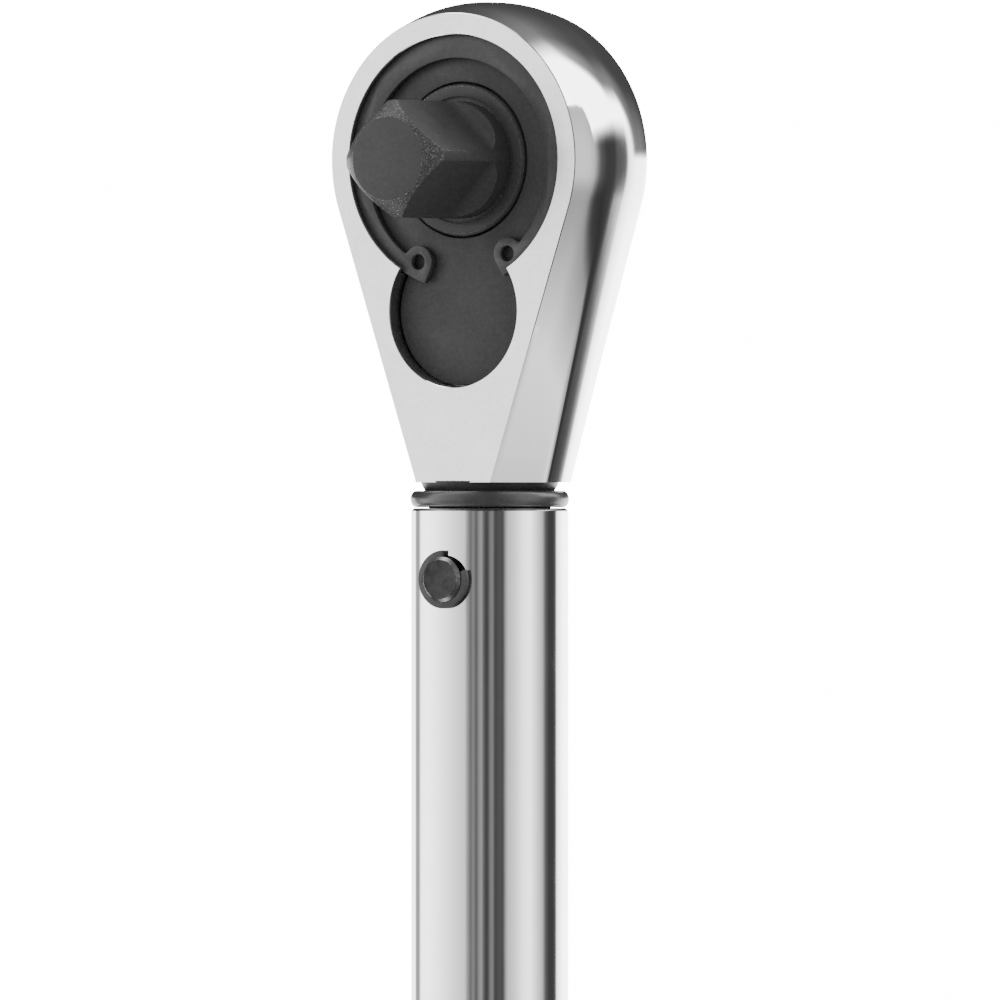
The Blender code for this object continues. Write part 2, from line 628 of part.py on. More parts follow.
def make_drive_gear():
    journal_end = GEAR_BACK_Y + JOURNAL_LENGTH
    groove = SHANK_RADIUS + UNDERCUT_WIDTH
    profile = [
        (0, TIP_Y), (TIP_RADIUS, TIP_Y), (SHANK_RADIUS, TIP_Y + TIP_CHAMFER),
        (SHANK_RADIUS, HUB_Y + UNDERCUT_DEPTH), (groove, HUB_Y + UNDERCUT_DEPTH), (groove, HUB_Y),
        (HUB_RADIUS - HUB_EDGE, HUB_Y), (HUB_RADIUS, HUB_Y + HUB_EDGE),
        (HUB_RADIUS, GEAR_FRONT_Y + WELD_DEPTH / 2), (JOURNAL_RADIUS, GEAR_FRONT_Y + WELD_DEPTH),
        (JOURNAL_RADIUS, journal_end), (0, journal_end)]
    gear = place("drive_gear", along_y(turned(profile, 64), 0, DRIVE_Z), BLACK_OXIDE, (0, 0, DRIVE_Z))
    weld(gear, toothed_disc())
    for side in range(4):
        cutter = flat_cutter()
        cutter.transform(flat_turn(side))
        cut(gear, cutter)
    hole = disc(BALL_RADIUS + BALL_HOLE_GAP, SQUARE / 2 - DETENT_DEPTH, SHANK_RADIUS + CUT_PAST, 24)
    hole.transform(flat_turn(DETENT_SIDE) @ Matrix.Translation((0, BALL_Y, 0)))
    cut(gear, hole)


def make_detent():
    turn = flat_turn(DETENT_SIDE) @ Matrix.Translation((0, BALL_Y, 0))
    centre = turn @ Vector((0, 0, BALL_CENTRE))
    place("detent_ball", ball(centre, BALL_RADIUS), STEEL, centre)
    low = SQUARE / 2 - DETENT_DEPTH + GAP / 3
    high = BALL_CENTRE - BALL_RADIUS - GAP / 3
    spring = coil(BALL_RADIUS * SMALL_SPRING_SHARE, DETENT_WIRE, low, high, SMALL_SPRING_TURNS)
    spring.transform(turn)
    place("detent_spring", spring, STEEL)


def make_pawl():
    """Toothed at both upper ends; it rocks about the lever's axis."""
    tip = GEAR_RADIUS + COG_GAP
    valley = tip + COG_DEPTH
    side_angle = math.degrees(math.asin(PAWL_HALF_WIDTH / tip))
    lobe = CAVITY_LOBE_RADIUS - 2 * GAP
    lobe_angle = math.degrees(math.acos(PAWL_HALF_WIDTH / lobe))
    points = arc(0, LOBE_Z, lobe, 180 - lobe_angle, 360 + lobe_angle, 28)
    for cog in range(PAWL_COGS * 2 + 1):
        angle = math.radians(-90 + side_angle - side_angle * cog / PAWL_COGS)
        radius = tip if cog % 2 == 0 else valley
        points.append((radius * math.cos(angle), DRIVE_Z + radius * math.sin(angle)))
    origin = (0, 0, LOBE_Z)
    pawl = place("pawl", slab(points, PAWL_FRONT_Y, GEAR_BACK_Y), STEEL, origin)
    cut(pawl, along_y(disc(PAWL_HOLE, PAWL_FRONT_Y - CUT_PAST, GEAR_BACK_Y + CUT_PAST, 40), 0, LOBE_Z))
    seat_end = RETAINER_Y + RETAINER_THICK + GAP
    seat = disc(RETAINER_RADIUS + RETAINER_SEAT_GAP, PAWL_FRONT_Y - CUT_PAST, seat_end, 40)
    cut(pawl, along_y(seat, 0, LOBE_Z))
    pawl.rotation_euler.y = math.radians(-PAWL_ROCK / 2)


def lever_turn():
    """The lever rests against one side, half its throw from the middle."""
    return Matrix.Translation((0, 0, LOBE_Z)) @ Matrix.Rotation(math.radians(-LEVER_THROW / 2), 4, "Y")


def make_reverse_lever():
    back = HEAD_BACK + GAP
    end = back + LEVER_THICK
    neck_radius = LEVER_SHAFT_RADIUS - RETAINER_BITE
    neck_end = RETAINER_Y + RETAINER_THICK + GAP
    profile = [
        (0, PAWL_FRONT_Y), (LEVER_SHAFT_RADIUS, PAWL_FRONT_Y), (LEVER_SHAFT_RADIUS, RETAINER_Y),
        (neck_radius, RETAINER_Y),
        (neck_radius, neck_end), (LEVER_SHAFT_RADIUS, neck_end), (LEVER_SHAFT_RADIUS, back),
        (LEVER_DISC_RADIUS, back), (LEVER_DISC_RADIUS, end - LEVER_DISC_EDGE),
        (LEVER_DISC_RADIUS - LEVER_DISC_EDGE, end), (0, end)]
    lever = place("reverse_lever", along_y(turned(profile), 0, 0), CHROME, (0, 0, 0))
    paddle = [(-LEVER_WAIST, -LEVER_WAIST)]
    paddle += arc(0, -LEVER_REACH + LEVER_TIP_RADIUS, LEVER_TIP_RADIUS, 180, 360, 12)
    paddle.append((LEVER_WAIST, -LEVER_WAIST))
    weld(lever, slab(paddle, back + GAP / 3, end - GAP / 2))
    half_bar = LEVER_BAR_WIDTH / 2
    bar_low = -LEVER_REACH + LEVER_TIP_RADIUS + half_bar
    weld(lever, box((-half_bar, end - WELD_DEPTH / 2, bar_low),
                    (half_bar, end + LEVER_BAR_HEIGHT, -LEVER_DISC_RADIUS + LEVER_TIP_RADIUS)))
    hole = disc(POPPET_RADIUS + GAP, -PAWL_HOLE, POPPET_HOLE_END, 20)
    hole.transform(Matrix.Translation((0, POPPET_SET_BACK, 0)))
    cut(lever, hole)
    lever.matrix_world = lever_turn()
    for modifier in lever.modifiers:
        modifier.object.matrix_world = lever_turn()


def make_pawl_poppet():
    """A sprung plunger in the lever's shaft that pushes the pawl to its side."""
    turn = lever_turn() @ Matrix.Translation((0, POPPET_SET_BACK, 0))
    tip = -(PAWL_HOLE - SLIDE_GAP)
    foot = tip + POPPET_LENGTH
    poppet = turned([
        (0, tip), (POPPET_RADIUS / 2, tip + POPPET_RADIUS / 10), (POPPET_RADIUS, tip + POPPET_RADIUS / 2),
        (POPPET_RADIUS, foot), (0, foot)], 20)
    poppet.transform(turn)
    place("pawl_plunger", poppet, STEEL, turn @ Vector((0, 0, tip)))
    low, high = foot + GAP / 3, POPPET_HOLE_END - GAP / 3
    spring = coil(POPPET_RADIUS * SMALL_SPRING_SHARE, POPPET_WIRE, low, high, SMALL_SPRING_TURNS)
    spring.transform(turn)
    place("pawl_spring", spring, STEEL)


def open_ring(inner, outer, front, back, middle_angle, opening, z):
    """A flat C-shaped clip in the XZ plane with round ends."""
    start = middle_angle + opening / 2
    end = middle_angle + 360 - opening / 2
    outline = arc(0, z, outer, start, end, 36)
    outline += arc(0, z, inner, end, start, 30)
    return slab(outline, front, back)


def make_lever_retainer():
    front = RETAINER_Y + GAP / 2
    clip = open_ring(RETAINER_BORE, RETAINER_RADIUS, front, front + RETAINER_THICK, 0, RETAINER_OPENING, 0)
    clip.transform(lever_turn())
    place("lever_retainer", clip, STEEL, (0, 0, LOBE_Z))


def make_neck_seal():
    """Round-edged rubber ring that lies on the tube's top edge."""
    outer = TUBE_RADIUS + GAP / 3
    edge = SEAL_HEIGHT * SEAL_ROUNDING
    profile = []
    for start, centre_z in ((-90, SEAL_Z + edge), (0, SEAL_Z + SEAL_HEIGHT - edge)):
        for step in range(5):
            angle = math.radians(start + 90 * step / 4)
            profile.append((outer - edge + edge * math.cos(angle), centre_z + edge * math.sin(angle)))
    profile += [(SEAL_BORE, SEAL_Z + SEAL_HEIGHT), (SEAL_BORE, SEAL_Z)]
    place("neck_seal", turned(profile, 48, closed=True), RUBBER)


def make_tube():
    edge = TUBE_EDGE
    top = TUBE_TOP_Z
    profile = [
        (TUBE_RADIUS - edge, TUBE_Z), (TUBE_RADIUS, TUBE_Z + edge), (TUBE_RADIUS, top - edge),
        (TUBE_RADIUS - edge, top), (TUBE_BORE + edge / 2, top), (TUBE_BORE, top - edge / 2),
        (TUBE_BORE, TUBE_Z)]
    tube = place("outer_tube", turned(profile, 72, closed=True), CHROME)
    reach = TUBE_RADIUS + CUT_PAST
    cut(tube, along_y(disc(PIN_RADIUS + GAP, -reach, reach, 40), 0, PIN_Z))
    hole = disc(NUT_PIN_RADIUS + GAP, 0, reach, 20)
    hole.transform(Matrix.Translation((0, 0, TUBE_Z + NUT_LENGTH / 2)) @ Matrix.Rotation(math.pi / 2, 4, "Y"))
    cut(tube, hole)


def make_pivot():
    end = TUBE_RADIUS + PIN_STANDS_OUT
    groove_in = TUBE_RADIUS + GAP
    groove_out = groove_in + CLIP_THICK + GAP / 2
    core = PIN_RADIUS - CLIP_BITE
    half = [
        (core, groove_in - GAP / 2), (core, groove_out), (PIN_RADIUS, groove_out),
        (PIN_RADIUS, end - PIN_EDGE), (PIN_RADIUS - PIN_EDGE, end), (0, end)]
    profile = [(radius, -height) for radius, height in reversed(half)]
    profile += [(PIN_RADIUS, -groove_in + GAP / 2), (PIN_RADIUS, groove_in - GAP / 2)] + half
    pin = along_y(turned(profile, 32), 0, PIN_Z)
    place("pivot_pin", pin, STEEL, (0, 0, PIN_Z))
    inner = core + CLIP_SLACK
    outer = inner + CLIP_BAND
    near = groove_in
    far = near + CLIP_THICK
    front = open_ring(inner, outer, -far, -near, CLIP_TURN, CLIP_OPENING, PIN_Z)
    place("pivot_clip_front", front, BLACK_OXIDE)
    rear = open_ring(inner, outer, near, far, CLIP_TURN, CLIP_OPENING, PIN_Z)
    place("pivot_clip_rear", rear, BLACK_OXIDE)


def make_tilt_block():
    """A steel block between two flat ends; its own ends are round, so that it rolls."""
    middle = BLOCK_Z + BLOCK_HEIGHT / 2
    corner = math.degrees(math.asin(BLOCK_WIDTH / BLOCK_HEIGHT))
    outline = arc(0, middle, BLOCK_HEIGHT / 2, 90 - corner, 90 + corner, 12)
    outline += arc(0, middle, BLOCK_HEIGHT / 2, 270 - corner, 270 + corner, 12)
    place("tilt_block", slab(outline, -BLOCK_DEPTH / 2, BLOCK_DEPTH / 2), STEEL, (0, 0, middle))


def make_spring_parts():
    """Plunger above the main spring, and the seat and thrust ball below it."""
    radius = TUBE_BORE - GAP
    waist = radius - PLUNGER_WAIST
    top = PLUNGER_Z + PLUNGER_LENGTH
    low_band = PLUNGER_Z + PLUNGER_BAND
    high_band = top - PLUNGER_BAND
    plunger = turned([
        (0, PLUNGER_Z - SPIGOT_LENGTH), (SPIGOT_RADIUS - PLUNGER_EDGE, PLUNGER_Z - SPIGOT_LENGTH),
        (SPIGOT_RADIUS, PLUNGER_Z - SPIGOT_LENGTH + PLUNGER_EDGE), (SPIGOT_RADIUS, PLUNGER_Z),
        (radius, PLUNGER_Z), (radius, low_band), (waist, low_band + PLUNGER_WAIST),
        (waist, high_band - PLUNGER_WAIST), (radius, high_band), (radius, top - PLUNGER_EDGE),
        (radius - PLUNGER_EDGE, top), (0, top)], 32)
    place("plunger", plunger, STEEL)
    cup = THRUST_BALL_RADIUS + GAP + CUP_GAP
    hollow = [(0, SEAT_Z + cup)]
    hollow += [(r, SEAT_Z + z) for r, z in reversed(arc(0, 0, cup, 0, CUP_ANGLE, 5))]
    seat = turned(hollow + [
        (radius, SEAT_Z), (radius, SEAT_TOP_Z),
        (SPIGOT_RADIUS, SEAT_TOP_Z), (SPIGOT_RADIUS, SEAT_TOP_Z + SPIGOT_LENGTH),
        (0, SEAT_TOP_Z + SPIGOT_LENGTH)], 32)
    place("spring_seat", seat, STEEL)
    place("thrust_ball", ball((0, 0, THRUST_Z), THRUST_BALL_RADIUS, 20, 12), STEEL, (0, 0, THRUST_Z))
    spring = coil(SPRING_RADIUS, SPRING_WIRE, SEAT_TOP_Z + GAP, PLUNGER_Z - GAP, SPRING_TURNS)
    place("main_spring", spring, STEEL)


def make_screw():
    """Adjusting screw, its thread drawn as rings, with a blind bore for the lock rod."""
    flange_top = SCREW_Z + SCREW_FLANGE_HEIGHT
    bore = LOCK_ROD_RADIUS + GAP
    bore_top = LOCK_ROD_Z + LOCK_ROD_LENGTH + SCREW_BORE_SPARE
    profile = [
        (0, bore_top), (bore, bore_top), (bore, SCREW_Z), (SCREW_FLANGE_RADIUS, SCREW_Z),
        (SCREW_FLANGE_RADIUS, flange_top), (SCREW_RADIUS, flange_top)]
    first = JAM_NUT_TOP_Z
    rings = int((SCREW_TOP_Z - THREAD_TOP - first) / THREAD_SPACING)
    for ring in range(rings):
        z = first + ring * THREAD_SPACING
        for height, depth in ((0.2, 0), (0.5, THREAD_DEPTH), (0.8, 0)):
            profile.append((SCREW_RADIUS - depth, z + height * THREAD_SPACING))
    profile += [(SCREW_RADIUS, SCREW_TOP_Z - SCREW_POINT), (SCREW_RADIUS - SCREW_POINT, SCREW_TOP_Z)]
    profile.append((0, SCREW_TOP_Z))
    place("adjusting_screw", turned(profile, 16), STEEL)
    nut = pipe(SCREW_RADIUS + GAP, TUBE_BORE - GAP, TUBE_Z, TUBE_Z + NUT_LENGTH, 32)
    pin_z = TUBE_Z + NUT_LENGTH / 2
    across = Matrix.Translation((0, 0, pin_z)) @ Matrix.Rotation(math.pi / 2, 4, "Y")
    nut_item = place("adjusting_nut", nut, BRASS)
    pin_inner = SCREW_RADIUS + NUT_PIN_FROM_SCREW
    hole = disc(NUT_PIN_RADIUS + GAP, pin_inner, TUBE_RADIUS, 20)
    hole.transform(across)
    cut(nut_item, hole)
    pin = disc(NUT_PIN_RADIUS, pin_inner + GAP, TUBE_RADIUS - GAP / 2, 20)
    pin.transform(across)
    place("nut_pin", pin, STEEL)
    corner = JAM_NUT_FLATS / 2 / math.cos(math.radians(30))
    jam = place("jam_nut", disc(corner, PLUG_TOP_Z + GAP, JAM_NUT_TOP_Z, 6), STEEL)
    cut(jam, disc(SCREW_RADIUS + GAP, PLUG_TOP_Z - CUT_PAST, JAM_NUT_TOP_Z + CUT_PAST, 32))


def make_handle():
    socket = SCREW_FLANGE_RADIUS + GAP
    stud_hole = KNOB_STUD_RADIUS + GAP
    plug = turned([
        (PLUG_RADIUS, PLUG_Z), (PLUG_RADIUS, PLUG_TOP_Z), (socket, PLUG_TOP_Z),
        (socket, SCREW_Z - GAP), (stud_hole, SCREW_Z - GAP), (stud_hole, PLUG_Z)], 36, closed=True)
    place("handle_plug", plug, STEEL)
    sleeve_top = PLUG_Z + GRIP_LENGTH
    nut_room = JAM_NUT_TOP_Z + CUT_PAST
    profile = [(GRIP_RADIUS - GRIP_EDGE, PLUG_Z), (GRIP_RADIUS, PLUG_Z + GRIP_EDGE)]
    band = GRIP_LENGTH / 4
    for index in range(1, 4):
        z = PLUG_Z + band * index
        half = GROOVE_WIDTH / 2
        profile += [(GRIP_RADIUS, z - half - GROOVE_DEPTH), (GRIP_RADIUS - GROOVE_DEPTH, z - half)]
        profile += [(GRIP_RADIUS - GROOVE_DEPTH, z + half), (GRIP_RADIUS, z + half + GROOVE_DEPTH)]
    profile += [
        (GRIP_RADIUS, sleeve_top - GRIP_EDGE), (GRIP_RADIUS - GRIP_EDGE, sleeve_top),
        (SLIDE_RADIUS, sleeve_top), (SLIDE_RADIUS, nut_room), (PLUG_RADIUS + GAP, nut_room),
        (PLUG_RADIUS + GAP, PLUG_Z)]
    place("grip_sleeve", turned(profile, 44, closed=True), STEEL)
    thimble_low = sleeve_top + GAP
    thimble_top = thimble_low + THIMBLE_LENGTH
    base = GRIP_RADIUS - GRIP_EDGE
    thimble = turned([
        (base, thimble_low), (base, thimble_low + THIMBLE_LENGTH * THIMBLE_STRAIGHT),
        (SLIDE_RADIUS + THIMBLE_TOP_WALL, thimble_top), (SLIDE_RADIUS, thimble_top),
        (SLIDE_RADIUS, thimble_low)], 44, closed=True)
    place("scale_thimble", thimble, SATIN)


def make_lock():
    knob = turned([
        (0, 0), (KNOB_RADIUS - KNOB_EDGE, 0), (KNOB_RADIUS, KNOB_EDGE), (KNOB_RADIUS, KNOB_HEIGHT - KNOB_EDGE),
        (KNOB_RADIUS - KNOB_EDGE, KNOB_HEIGHT), (KNOB_STUD_RADIUS, KNOB_HEIGHT),
        (KNOB_STUD_RADIUS, KNOB_HEIGHT + KNOB_STUD_LENGTH), (0, KNOB_HEIGHT + KNOB_STUD_LENGTH)], 48)
    place("lock_knob", knob, STEEL)
    rod = disc(LOCK_ROD_RADIUS, LOCK_ROD_Z, LOCK_ROD_Z + LOCK_ROD_LENGTH, 24)
    place("lock_rod", rod, STEEL)


for old in list(bpy.data.objects):
    bpy.data.objects.remove(old, do_unlink=True)

make_head()
make_cover_plate()
make_snap_ring()
make_drive_gear()
make_detent()
make_pawl()
make_reverse_lever()
make_pawl_poppet()
make_lever_retainer()
make_neck_seal()
make_tube()
make_pivot()
make_tilt_block()
make_spring_parts()
make_screw()
make_handle()
make_lock()
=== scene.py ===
import json
import math

import bmesh
import bpy
from mathutils import Matrix, Vector


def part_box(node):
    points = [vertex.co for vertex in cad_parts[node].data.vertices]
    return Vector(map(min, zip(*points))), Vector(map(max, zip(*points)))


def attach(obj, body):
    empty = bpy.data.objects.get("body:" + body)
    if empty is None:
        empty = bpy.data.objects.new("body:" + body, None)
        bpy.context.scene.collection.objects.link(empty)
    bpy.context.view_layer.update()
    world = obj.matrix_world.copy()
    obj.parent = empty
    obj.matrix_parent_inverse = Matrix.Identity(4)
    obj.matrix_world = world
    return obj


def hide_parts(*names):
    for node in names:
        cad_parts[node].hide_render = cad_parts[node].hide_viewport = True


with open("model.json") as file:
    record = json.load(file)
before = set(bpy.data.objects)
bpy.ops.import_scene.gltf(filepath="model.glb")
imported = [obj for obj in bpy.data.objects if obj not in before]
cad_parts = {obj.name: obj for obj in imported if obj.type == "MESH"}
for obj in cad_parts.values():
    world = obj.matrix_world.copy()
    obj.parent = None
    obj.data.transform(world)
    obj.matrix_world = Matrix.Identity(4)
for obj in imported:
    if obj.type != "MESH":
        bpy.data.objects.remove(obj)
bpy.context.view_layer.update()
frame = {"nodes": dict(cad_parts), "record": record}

mm = 0.001
record = frame["record"]
mounts = {mount["name"]: mount for mount in record["mounts"]}
joints = {joint["name"]: joint for joint in record["behaviour"]["joints"]}
tipY = mounts["square_drive_tip"]["pos_m"][1]
driveZ = mounts["square_drive_tip"]["pos_m"][2]
pinZ = joints["head_click"]["pos_m"][2]
leverZ = joints["lever_throw"]["pos_m"][2]
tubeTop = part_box("outer_tube")[1][2]
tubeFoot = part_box("outer_tube")[0][2]
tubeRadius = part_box("outer_tube")[1][0]
cameraAzimuth = math.radians(34)   # the camera stands this far round towards +X
towardsCamera = Vector((math.sin(cameraAzimuth), -math.cos(cameraAzimuth), 0))
cameraRight = Vector((math.cos(cameraAzimuth), math.sin(cameraAzimuth), 0))


def addNode(tree, kind, settings=None, **inputs):
    node = tree.nodes.new(kind)
    for name, value in (settings or {}).items():
        setattr(node, name, value)
    for name, value in inputs.items():
        socket = node.inputs[int(name[1:])] if name[0] == "i" and name[1:].isdigit() else node.inputs[name]
        if isinstance(value, bpy.types.NodeSocket):
            tree.links.new(value, socket)
        else:
            socket.default_value = value
    return node


def maths(tree, operation, *values):
    inputs = {"i" + str(index): value for index, value in enumerate(values)}
    return addNode(tree, "ShaderNodeMath", {"operation": operation}, **inputs).outputs[0]


def rampOf(tree, factor, stops):
    node = addNode(tree, "ShaderNodeValToRGB", Fac=factor)
    ramp = node.color_ramp
    while len(ramp.elements) < len(stops):
        ramp.elements.new(0.5)
    for element, (place, tone) in zip(ramp.elements, stops):
        element.position = place
        element.color = (tone, tone, tone, 1)
    return node.outputs["Color"]


def newObject(name, data):
    holder = bpy.data.objects.new(name, data)
    bpy.context.scene.collection.objects.link(holder)
    return holder


def paint(piece, *finishes):
    for finish in finishes:
        piece.data.materials.append(finish)


def objectFrom(name, shape, smoothAngle=30):
    bmesh.ops.remove_doubles(shape, verts=shape.verts, dist=0.000001)
    bmesh.ops.recalc_face_normals(shape, faces=shape.faces)
    mesh = bpy.data.meshes.new(name)
    shape.to_mesh(mesh)
    shape.free()
    mesh.shade_smooth()
    mesh.set_sharp_from_angle(angle=math.radians(smoothAngle))
    return newObject(name, mesh)


def bake(piece, smoothAngle=30):
    bpy.context.view_layer.update()
    graph = bpy.context.evaluated_depsgraph_get()
    mesh = bpy.data.meshes.new_from_object(piece.evaluated_get(graph), depsgraph=graph)
    piece.modifiers.clear()
    piece.data = mesh
    mesh.shade_smooth()
    mesh.set_sharp_from_angle(angle=math.radians(smoothAngle))
    return piece


def carve(piece, shapes, operation="DIFFERENCE", smoothAngle=30):
    tools = []
    for shape in shapes:
        tool = objectFrom("tool", shape)
        modifier = piece.modifiers.new("carve", "BOOLEAN")
        modifier.operation = operation
        modifier.solver = "EXACT"
        modifier.object = tool
        tools.append(tool)
    bake(piece, smoothAngle)
    for tool in tools:
        bpy.data.objects.remove(tool, do_unlink=True)
    return piece


def soften(piece, width, segments=2, angle=35, smoothAngle=30, slot=-1):
    modifier = piece.modifiers.new("soft edges", "BEVEL")
    modifier.material = slot
    modifier.width = width
    modifier.segments = segments
    modifier.limit_method = "ANGLE"
    modifier.angle_limit = math.radians(angle)
    return bake(piece, smoothAngle)


def turned(profile, steps=128, closed=False):
    shape = bmesh.new()
    rings = []
    for radius, height in profile:
        if radius <= 0:
            rings.append([shape.verts.new((0, 0, height))] * steps)
            continue
        ring = []
        for step in range(steps):
            angle = math.tau * step / steps
            ring.append(shape.verts.new((radius * math.cos(angle), radius * math.sin(angle), height)))
        rings.append(ring)
    pairs = list(zip(rings, rings[1:]))
    if closed:
        pairs.append((rings[-1], rings[0]))
    for lower, upper in pairs:
        for step in range(steps):
            after = (step + 1) % steps
            corners = list(dict.fromkeys([lower[step], lower[after], upper[after], upper[step]]))
            if len(corners) > 2:
                shape.faces.new(corners)
    return shape


def alongY(shape, x=0.0, z=0.0):
    shape.transform(Matrix(((1, 0, 0), (0, 0, 1), (0, -1, 0))).to_4x4())
    shape.transform(Matrix.Translation((x, 0, z)))
    return shape


def geometryTree(name, inputs):
    tree = bpy.data.node_groups.new(name, "GeometryNodeTree")
    sockets = {}
    for label, kind, value in inputs:
        socket = tree.interface.new_socket(label, in_out="INPUT", socket_type="NodeSocket" + kind)
        if value is not None:
            socket.default_value = value
        sockets[label] = socket.identifier
    tree.interface.new_socket("Geometry", in_out="OUTPUT", socket_type="NodeSocketGeometry")
    return tree, sockets, tree.nodes.new("NodeGroupInput").outputs, tree.nodes.new("NodeGroupOutput").inputs


def grown(name, nodes, values, smoothAngle=30):
    tree, sockets = nodes
    piece = newObject(name, bpy.data.meshes.new(name))
    modifier = piece.modifiers.new(name, "NODES")
    modifier.node_group = tree
    for label, value in values.items():
        modifier[sockets[label]] = value
    return bake(piece, smoothAngle)


def disc(radius, low, high, steps=96):
    return turned([(0, low), (radius, low), (radius, high), (0, high)], steps)


def arc(centreX, centreZ, radius, start, end, steps):
    points = []
    for step in range(steps + 1):
        angle = math.radians(start + (end - start) * step / steps)
        points.append((centreX + radius * math.cos(angle), centreZ + radius * math.sin(angle)))
    return points


def lofted(outlines):
    shape = bmesh.new()
    rings = [[shape.verts.new((x, y, z)) for x, z in points] for y, points in outlines]
    for first, second in zip(rings, rings[1:]):
        for index in range(len(first)):
            after = (index + 1) % len(first)
            shape.faces.new([first[index], first[after], second[after], second[index]])
    shape.faces.new(rings[0])
    shape.faces.new(list(reversed(rings[-1])))
    return shape


def slab(points, frontY, backY):
    return lofted([(frontY, points), (backY, points)])


def box(low, high):
    shape = bmesh.new()
    bmesh.ops.create_cube(shape, size=1.0)
    for vert in shape.verts:
        for axis in range(3):
            vert.co[axis] = low[axis] if vert.co[axis] < 0 else high[axis]
    return shape


studio = {
    "frameHeight": 141.4 * mm,   # what the camera sees at the wrench
    "distance": 3.5,
    "aimZ": driveZ - 48.0 * mm,
    "aimRight": 1.45 * mm,
    "floorSize": 2.4,
    "backdrop": 16.0,
    "softLight": 1.3,
    # light of the walls by the angle from the camera, to the left and to the right of wallSplit
    "wallSplit": 84,
    "leftWalls": [
        (-180, 5), (-158, 4.6), (-143, 4.2), (-138, 0.5), (-129, 0.45), (-122, 3.6), (-106, 3.9),
        (-86, 3.1), (-66, 2.1), (-50, 1.45), (-37, 1.1), (-33.5, 0.45), (-28, 0.17), (-24, 0.3),
        (-20, 0.12), (-16, 0.3), (-12, 0.42), (-8, 0.11), (-4, 0.06), (0, 0.2), (4, 0.28), (8, 0.07),
        (14, 0.1), (19, 0.08), (23, 0.42), (27, 0.85), (38, 1.3), (50, 2.4), (62, 2.9), (74, 1.35),
        (84, 0.7), (91, 0.1)],
    "rightWalls": [
        (84, 0.7), (91, 0.12), (99, 0.055), (108, 0.06), (113, 0.14), (117, 2.6), (124, 4), (140, 6.5),
        (165, 7), (180, 5)],
    # light of the roof by how far up it is
    "roof": [
        (0, 0.08), (0.3, 0.068), (0.45, 0.075), (0.6, 0.1), (0.7, 0.13), (0.8, 0.19), (0.88, 0.3),
        (0.95, 0.6), (1, 2)],
    "window": 6, "floorLight": 0.1, "roofGlow": 0.2, "benchShade": -0.1,
}


def buildCamera():
    camera = bpy.data.cameras.new("camera")
    camera.sensor_width = 36
    camera.lens = 36 * studio["distance"] / studio["frameHeight"]
    camera.clip_start = 0.05
    camera.clip_end = 50
    holder = newObject("camera", camera)
    aim = cameraRight * studio["aimRight"] + Vector((0, 0, studio["aimZ"]))
    holder.location = aim + towardsCamera * studio["distance"]
    holder.rotation_euler = (math.pi / 2, 0, cameraAzimuth)
    bpy.context.scene.camera = holder


def buildWorld():
    world = bpy.data.worlds.new("studio")
    bpy.context.scene.world = world
    world.use_nodes = True
    tree = world.node_tree
    tree.nodes.clear()
    direction = addNode(tree, "ShaderNodeTexCoord").outputs["Generated"]

    def along(vector):
        dot = addNode(tree, "ShaderNodeVectorMath", {"operation": "DOT_PRODUCT"}, i0=direction, i1=vector)
        return dot.outputs["Value"]

    def smooth(value, start, stop):
        return addNode(tree, "ShaderNodeMapRange", {"interpolation_type": "SMOOTHSTEP"}, Value=value, **{
            "From Min": start, "From Max": stop, "To Min": 0.0, "To Max": 1.0}).outputs["Result"]

    def blend(share, first, second):
        mix = addNode(tree, "ShaderNodeMix", **{"i0": share, "i2": first, "i3": second})
        return mix.outputs[0]

    front = along(tuple(towardsCamera))
    side = along(tuple(cameraRight))
    up = along((0, 0, 1))
    turn = maths(tree, "MULTIPLY_ADD", maths(tree, "ARCTAN2", side, front), 1 / math.tau, 0.5)

    # tones are stored as powers of two, from 1/32 up to 16, so that the soft edges stay soft
    def tone(light):
        return (math.log2(light) + 5) / 9

    def wallRamp(lights):
        return rampOf(tree, turn, [(0.5 + angle / 360, tone(light)) for angle, light in lights])

    # the dark wall at the right ends low, with a bright window above it
    rightWalls = blend(smooth(up, 0.12, 0.32), wallRamp(studio["rightWalls"]), tone(studio["window"]))
    onRight = maths(tree, "GREATER_THAN", turn, 0.5 + studio["wallSplit"] / 360)
    walls = blend(onRight, wallRamp(studio["leftWalls"]), rightWalls)
    # a dark roof beam stands behind the wrench, and the floor behind it is dark too
    behind = smooth(front, -0.15, -0.4)
    east = along((1, 0, 0))
    roofSide = maths(tree, "MULTIPLY", behind, smooth(east, 0.42, 0.27))
    roofMask = maths(tree, "MULTIPLY", smooth(up, 0.01, 0.07), roofSide)
    roofTone = rampOf(tree, up, [(rise, tone(light)) for rise, light in studio["roof"]])
    roofTone = maths(tree, "MULTIPLY_ADD", smooth(east, 0.0, 0.3), studio["roofGlow"], roofTone)
    floorMask = maths(tree, "MULTIPLY", smooth(up, -0.36, -0.5), behind)
    mixed = blend(floorMask, blend(roofMask, walls, roofTone), tone(studio["floorLight"]))
    bench = maths(tree, "MULTIPLY", smooth(up, -0.12, -0.34), smooth(front, -0.3, 0.0))
    mixed = maths(tree, "MULTIPLY_ADD", bench, studio["benchShade"], mixed)
    light = maths(tree, "POWER", 2.0, maths(tree, "MULTIPLY_ADD", mixed, 9.0, -5.0))
    rays = addNode(tree, "ShaderNodeLightPath")
    light = blend(rays.outputs["Is Diffuse Ray"], light, studio["softLight"])
    light = blend(rays.outputs["Is Camera Ray"], light, studio["backdrop"])
    plain = addNode(tree, "ShaderNodeBackground", Color=(1, 1, 1, 1), Strength=light)
    addNode(tree, "ShaderNodeOutputWorld", Surface=plain.outputs[0])


